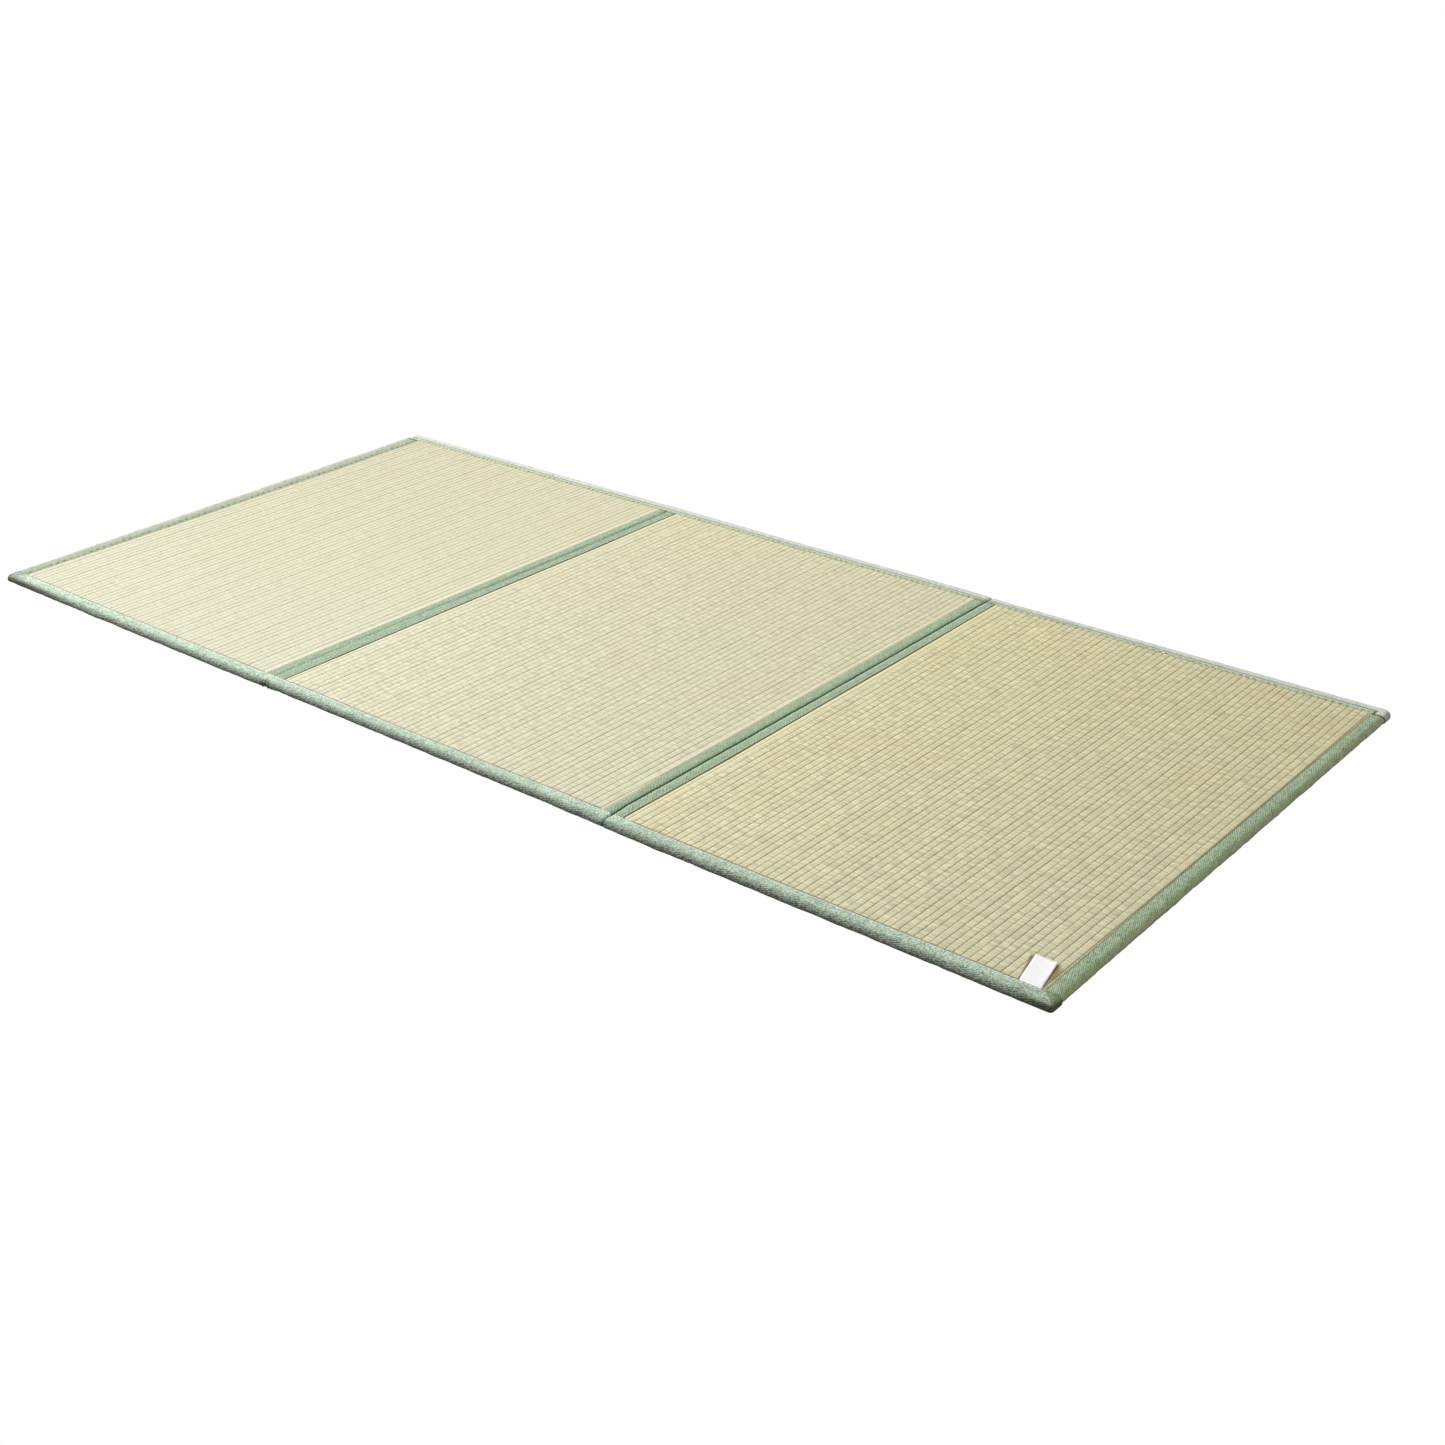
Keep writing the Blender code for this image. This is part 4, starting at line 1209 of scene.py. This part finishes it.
def make_lights():
    for lamp in LAMPS:
        data = bpy.data.lights.new(lamp.name, "AREA")
        data.shape = "SQUARE"
        data.size = lamp.size
        data.energy = lamp.power
        data.color = lamp.colour
        item = bpy.data.objects.new(lamp.name, data)
        bpy.context.scene.collection.objects.link(item)
        item.location = lamp.place
        item.rotation_euler = (Vector(lamp.aim) - Vector(lamp.place)).to_track_quat("-Z", "Y").to_euler()
    world = bpy.data.worlds.new("studio")
    bpy.context.scene.world = world
    world.use_nodes = True
    world.node_tree.nodes["Background"].inputs["Color"].default_value = (1.0, 1.0, 1.0, 1.0)
    world.node_tree.nodes["Background"].inputs["Strength"].default_value = WORLD_STRENGTH


def make_camera():
    data = bpy.data.cameras.new("camera")
    data.sensor_width = SENSOR_WIDTH_MM
    data.lens = LENS_MM
    data.shift_x = SIDE_SHIFT
    item = bpy.data.objects.new("camera", data)
    bpy.context.scene.collection.objects.link(item)
    item.location = CAMERA_PLACE
    item.rotation_euler = [math.radians(angle) for angle in CAMERA_ANGLES_DEG]
    bpy.context.scene.camera = item
    bpy.context.scene.view_settings.view_transform = "Standard"


def skin_height(roll, seam_inset, inset):
    """Height of a rolled strip's top at some distance in from its outer edge."""
    path = roll_section(roll, seam_inset)
    top = path[path[:, 1] > 9 * MM][::-1]
    return float(np.interp(inset, top[:, 0], top[:, 1]))


def seam_lines():
    """Rows of stitches near the inner edges of the cloth on top, by the strip that they hold."""
    step = 10 * MM
    folds = [middle for middle, _ in fold_places(0.0)]
    lines = {}
    for strip in (FRONT_STRIP, BACK_STRIP):
        inward = 1 if strip is FRONT_STRIP else -1
        inset = strip.roll.width_mm * MM - strip.stitch_mm * MM
        z = skin_height(strip.roll, strip.roll.width_mm * MM, inset) - STITCH_DIP + 0.1 * MM
        first = end_seam("left_mm", strip.seam(-HALF_LENGTH)) - 4 * MM
        last = end_seam("right_mm", strip.seam(HALF_LENGTH)) + 2 * MM
        ends = (first, folds[0] - 1 * MM, folds[0] + 1 * MM, folds[1] - 5 * MM, folds[1] + 5 * MM, last)
        rows = []
        for low, high in zip(ends[::2], ends[1::2]):
            xs = np.linspace(low, high, int((high - low) / step))
            rows.append([(x, strip.seam(x) - inward * strip.stitch_mm * MM, z) for x in xs])
        lines["stitches_" + strip.name] = rows
    ys = np.linspace(front_seam(0.0) + 3 * MM, back_seam(0.0) - 3 * MM, 90)
    z = FLAT_STITCH_Z
    lines["stitches_left_end"] = [[(end_seam("left_mm", y) - END_STITCH_INSET, y, z) for y in ys]]
    lines["stitches_right_end"] = [[(end_seam("right_mm", y) + HEM_STITCH_INSET, y, z) for y in ys]]
    for name, fold in (("stitches_left_fold", LEFT_FOLD), ("stitches_right_fold", RIGHT_FOLD)):
        lines[name] = [
            [(fold_value(fold, "left_mm", y) + END_STITCH_INSET, y, z) for y in ys],
            [(fold_value(fold, "right_mm", y) - END_STITCH_INSET, y, z) for y in ys],
        ]
    return lines


FRONT_STRIP = LongStrip("front_strip", front_edge, front_seam, FRONT_ROLL, 2.6, 1.0)
BACK_STRIP = LongStrip("back_strip", back_edge, back_seam, BACK_ROLL, 5.5, 0.2)
LABEL_WHITE = (0.97, 0.965, 0.99)
FRONT_THREAD = (0.88, 0.90, 0.83)
SAGE_THREAD = (0.44, 0.50, 0.37)
DARK_THREAD = (0.25, 0.31, 0.19)
BACKING = (0.55, 0.53, 0.46)
# Colours for the cloth's darker lower side: speckled darkening, and painted shade along its bottom edge.
LOW_DARK_GREY = (0.085, 0.09, 0.078)
LOW_DARK_OLIVE = (0.20, 0.20, 0.11)
# Colours across the front strip from its hem, partly painted light: shadow at the hem's edge, highlight with
# the pale thread on the lip beside it, and shade down the front side and underneath.
FRONT_BANDS = (
    (0.0, 0.42, 0.49, 0.38), (0.9, 0.56, 0.64, 0.51), (1.8, 0.64, 0.735, 0.58),
    (3.2, 0.69, 0.785, 0.645), (5.8, 0.64, 0.755, 0.612), (8.0, 0.585, 0.72, 0.562),
    (15.0, 0.555, 0.7, 0.545), (17.5, 0.455, 0.575, 0.45), (20.5, 0.37, 0.45, 0.345),
    (28.0, 0.38, 0.44, 0.35), (36.0, 0.25, 0.276, 0.227),
)
# Colours across the back strip from its hem: the green flat band, a dark stop that is painted shade in the
# groove, and a pale grey roll that is painted highlight where the roll catches light from behind.
BACK_BANDS = (
    (0.0, 0.3, 0.34, 0.21), (1.6, 0.46, 0.5, 0.35), (5.5, 0.545, 0.595, 0.442),
    (8.8, 0.52, 0.568, 0.42), (10.0, 0.24, 0.27, 0.19), (12.2, 0.24, 0.27, 0.19),
    (14.0, 0.52, 0.555, 0.46), (17.0, 0.585, 0.612, 0.525), (24.0, 0.585, 0.612, 0.525),
    (26.0, 0.38, 0.4, 0.35), (40.0, 0.429, 0.441, 0.373),
)
RIGHT_END_BANDS = (
    (0.0, 0.42, 0.45, 0.28), (1.5, 0.4, 0.46, 0.29), (4.0, 0.325, 0.415, 0.262),
    (12.0, 0.305, 0.4, 0.242), (15.0, 0.29, 0.385, 0.215), (18.0, 0.335, 0.4, 0.215),
    (23.0, 0.388, 0.436, 0.229), (32.0, 0.388, 0.414, 0.25),
)
LEFT_END_BANDS = (
    (0.0, 0.31, 0.345, 0.23), (2.0, 0.33, 0.366, 0.262), (8.0, 0.317, 0.361, 0.264),
    (14.0, 0.343, 0.387, 0.29), (20.0, 0.378, 0.414, 0.326), (30.0, 0.458, 0.484, 0.405),
    (45.0, 0.264, 0.264, 0.22),
)
# Colours across a fold band from its left hem to its right one: pale hem thread on the left, and near-black
# stops at the right hem, painted shadow of the band's raised edge. The bands are set darker than the front
# strip's crown, partly a painted difference in the cloth's sheen.
LEFT_FOLD_BANDS = (
    (0.0, 0.57, 0.643, 0.48), (1.4, 0.475, 0.551, 0.402), (2.6, 0.342, 0.408, 0.284),
    (9.0, 0.35, 0.46, 0.32), (14.0, 0.325, 0.43, 0.29), (17.5, 0.3, 0.405, 0.27),
    (21.0, 0.335, 0.45, 0.305), (30.0, 0.332, 0.449, 0.304), (42.0, 0.34, 0.43, 0.3),
    (46.6, 0.37, 0.44, 0.3), (47.3, 0.05, 0.06, 0.035), (50.0, 0.03, 0.035, 0.02),
)
RIGHT_FOLD_BANDS = (
    (0.0, 0.53, 0.594, 0.408), (1.4, 0.418, 0.484, 0.316), (3.0, 0.337, 0.418, 0.27),
    (15.0, 0.316, 0.424, 0.275), (26.0, 0.385, 0.515, 0.342), (38.0, 0.347, 0.473, 0.311),
    (43.0, 0.32, 0.42, 0.275), (46.0, 0.4, 0.47, 0.32), (47.4, 0.42, 0.48, 0.33),
    (48.1, 0.1, 0.115, 0.06), (50.0, 0.04, 0.05, 0.02),
)

RUSH_TONES = (
    RushTone((0.622, 0.606, 0.438), (0.64, 0.57, 0.39), 0.28, 0.60, -0.95, -0.36, 0.955, 1.05, False),
    RushTone((0.653, 0.626, 0.438), (0.66, 0.58, 0.39), 0.5, 0.9, -0.30, 0.32, 1.035, 1.0, False),
    RushTone((0.612, 0.579, 0.366), (0.62, 0.50, 0.28), 0.7, 1.0, 0.36, 0.97, 1.09, 0.975, True),
)
FRONT_WEAVE = Weave(8.0, 3.0, 0.10, 0.22, 0.95, 0.9, 5.5, 0.8, 0.5, 1.5)
BACK_WEAVE = Weave(9.0, 2.9, 0.05, 0.10, 0.2, 3.4, 11.0, 1.5, 0.9, 0.3)
LEFT_WEAVE = Weave(8.0, 2.0, 0.08, 0.12, 0.2, 5.4, 14.0, 1.8, 0.95, 0.4)
RIGHT_WEAVE = Weave(6.0, 2.5, 0.28, 0.12, 0.35, 0.2, 4.6, 1.2, 0.55, 1.1)
FOLD_WEAVE = Weave(7.0, 1.5, 0.10, 0.11, 0.0, 0.8, 5.0, 1.2, 0.3, 1.1)
PANELS = (
    Panel(
        "rush_face_left",
        "rush_panel_left",
        "rush_pale",
        LEFT_RIBS,
        end_side("left_mm", -1, -0.8),
        fold_side(LEFT_FOLD, "left_mm", -1, 1.0),
    ),
    Panel(
        "rush_face_middle",
        "rush_panel_middle",
        "rush_mid",
        MIDDLE_RIBS,
        fold_side(LEFT_FOLD, "right_mm", 1, 0.3),
        fold_side(RIGHT_FOLD, "left_mm", -1, 0.8),
    ),
    Panel(
        "rush_face_right",
        "rush_panel_right",
        "rush_olive",
        RIGHT_RIBS,
        fold_side(RIGHT_FOLD, "right_mm", 1, 0.6),
        end_side("right_mm", 1, -0.8),
    ),
)

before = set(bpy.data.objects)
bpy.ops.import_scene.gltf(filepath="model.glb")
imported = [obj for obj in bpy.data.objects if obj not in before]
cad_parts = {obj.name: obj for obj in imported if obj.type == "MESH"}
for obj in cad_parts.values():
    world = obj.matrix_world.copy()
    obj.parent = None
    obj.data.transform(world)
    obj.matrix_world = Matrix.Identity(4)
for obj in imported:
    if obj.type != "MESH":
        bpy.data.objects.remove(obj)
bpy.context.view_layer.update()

make_camera()
make_lights()
make_stage()

rushes = [
    rush_material(name, tone)
    for name, tone in zip(("rush_left", "rush_middle", "rush_right"), RUSH_TONES)
]
backing = backing_material("backing", BACKING)
sage_front = cloth_material("sage_front", FRONT_BANDS, FRONT_WEAVE, LOW_DARK_GREY)
sage_back = cloth_material("sage_back", BACK_BANDS, BACK_WEAVE, LOW_DARK_GREY)
sage_left = cloth_material("sage_left", LEFT_END_BANDS, LEFT_WEAVE, LOW_DARK_OLIVE)
sage_right = cloth_material("sage_right", RIGHT_END_BANDS, RIGHT_WEAVE, LOW_DARK_OLIVE)
sage_left_fold = cloth_material("sage_left_fold", LEFT_FOLD_BANDS, FOLD_WEAVE, LOW_DARK_OLIVE)
sage_right_fold = cloth_material("sage_right_fold", RIGHT_FOLD_BANDS, FOLD_WEAVE, LOW_DARK_OLIVE)
pale_thread = thread_material("pale_thread", FRONT_THREAD)
sage_thread = thread_material("sage_thread", SAGE_THREAD)
dark_thread = thread_material("dark_thread", DARK_THREAD)
label_cloth = label_material("label_cloth", LABEL_WHITE)

for panel, rush in zip(PANELS, rushes):
    item = make_rush_panel(panel, rush, backing)
    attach(item, "root")
    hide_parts(panel.node)

strips = {
    "binding_front": make_long_strip(FRONT_STRIP, sage_front, sage_right),
    "binding_back": make_long_strip(BACK_STRIP, sage_back),
    "binding_left": make_end_strip("left_strip", "left_mm", -1, sage_left),
    "binding_right": make_end_strip("right_strip", "right_mm", 1, sage_right),
    "fold_band_left": make_fold_band("left_fold_band", LEFT_FOLD, False, sage_left_fold),
    "fold_band_right": make_fold_band("right_fold_band", RIGHT_FOLD, True, sage_right_fold),
}

# The rows of stitches come in the order of the strips that they hold
seams = seam_lines()
threads_by_name = {"stitches_front_strip": pale_thread, "stitches_right_end": dark_thread}
for seed, (name, lines) in enumerate(seams.items()):
    item = make_stitches(name, lines, threads_by_name.get(name, sage_thread), seed)
    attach(item, "root")
for (node, item), stitches in zip(strips.items(), seams):
    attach(item, "root")
    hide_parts(node)

label = make_label(label_cloth)
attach(label, "root")
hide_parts("label_tab")
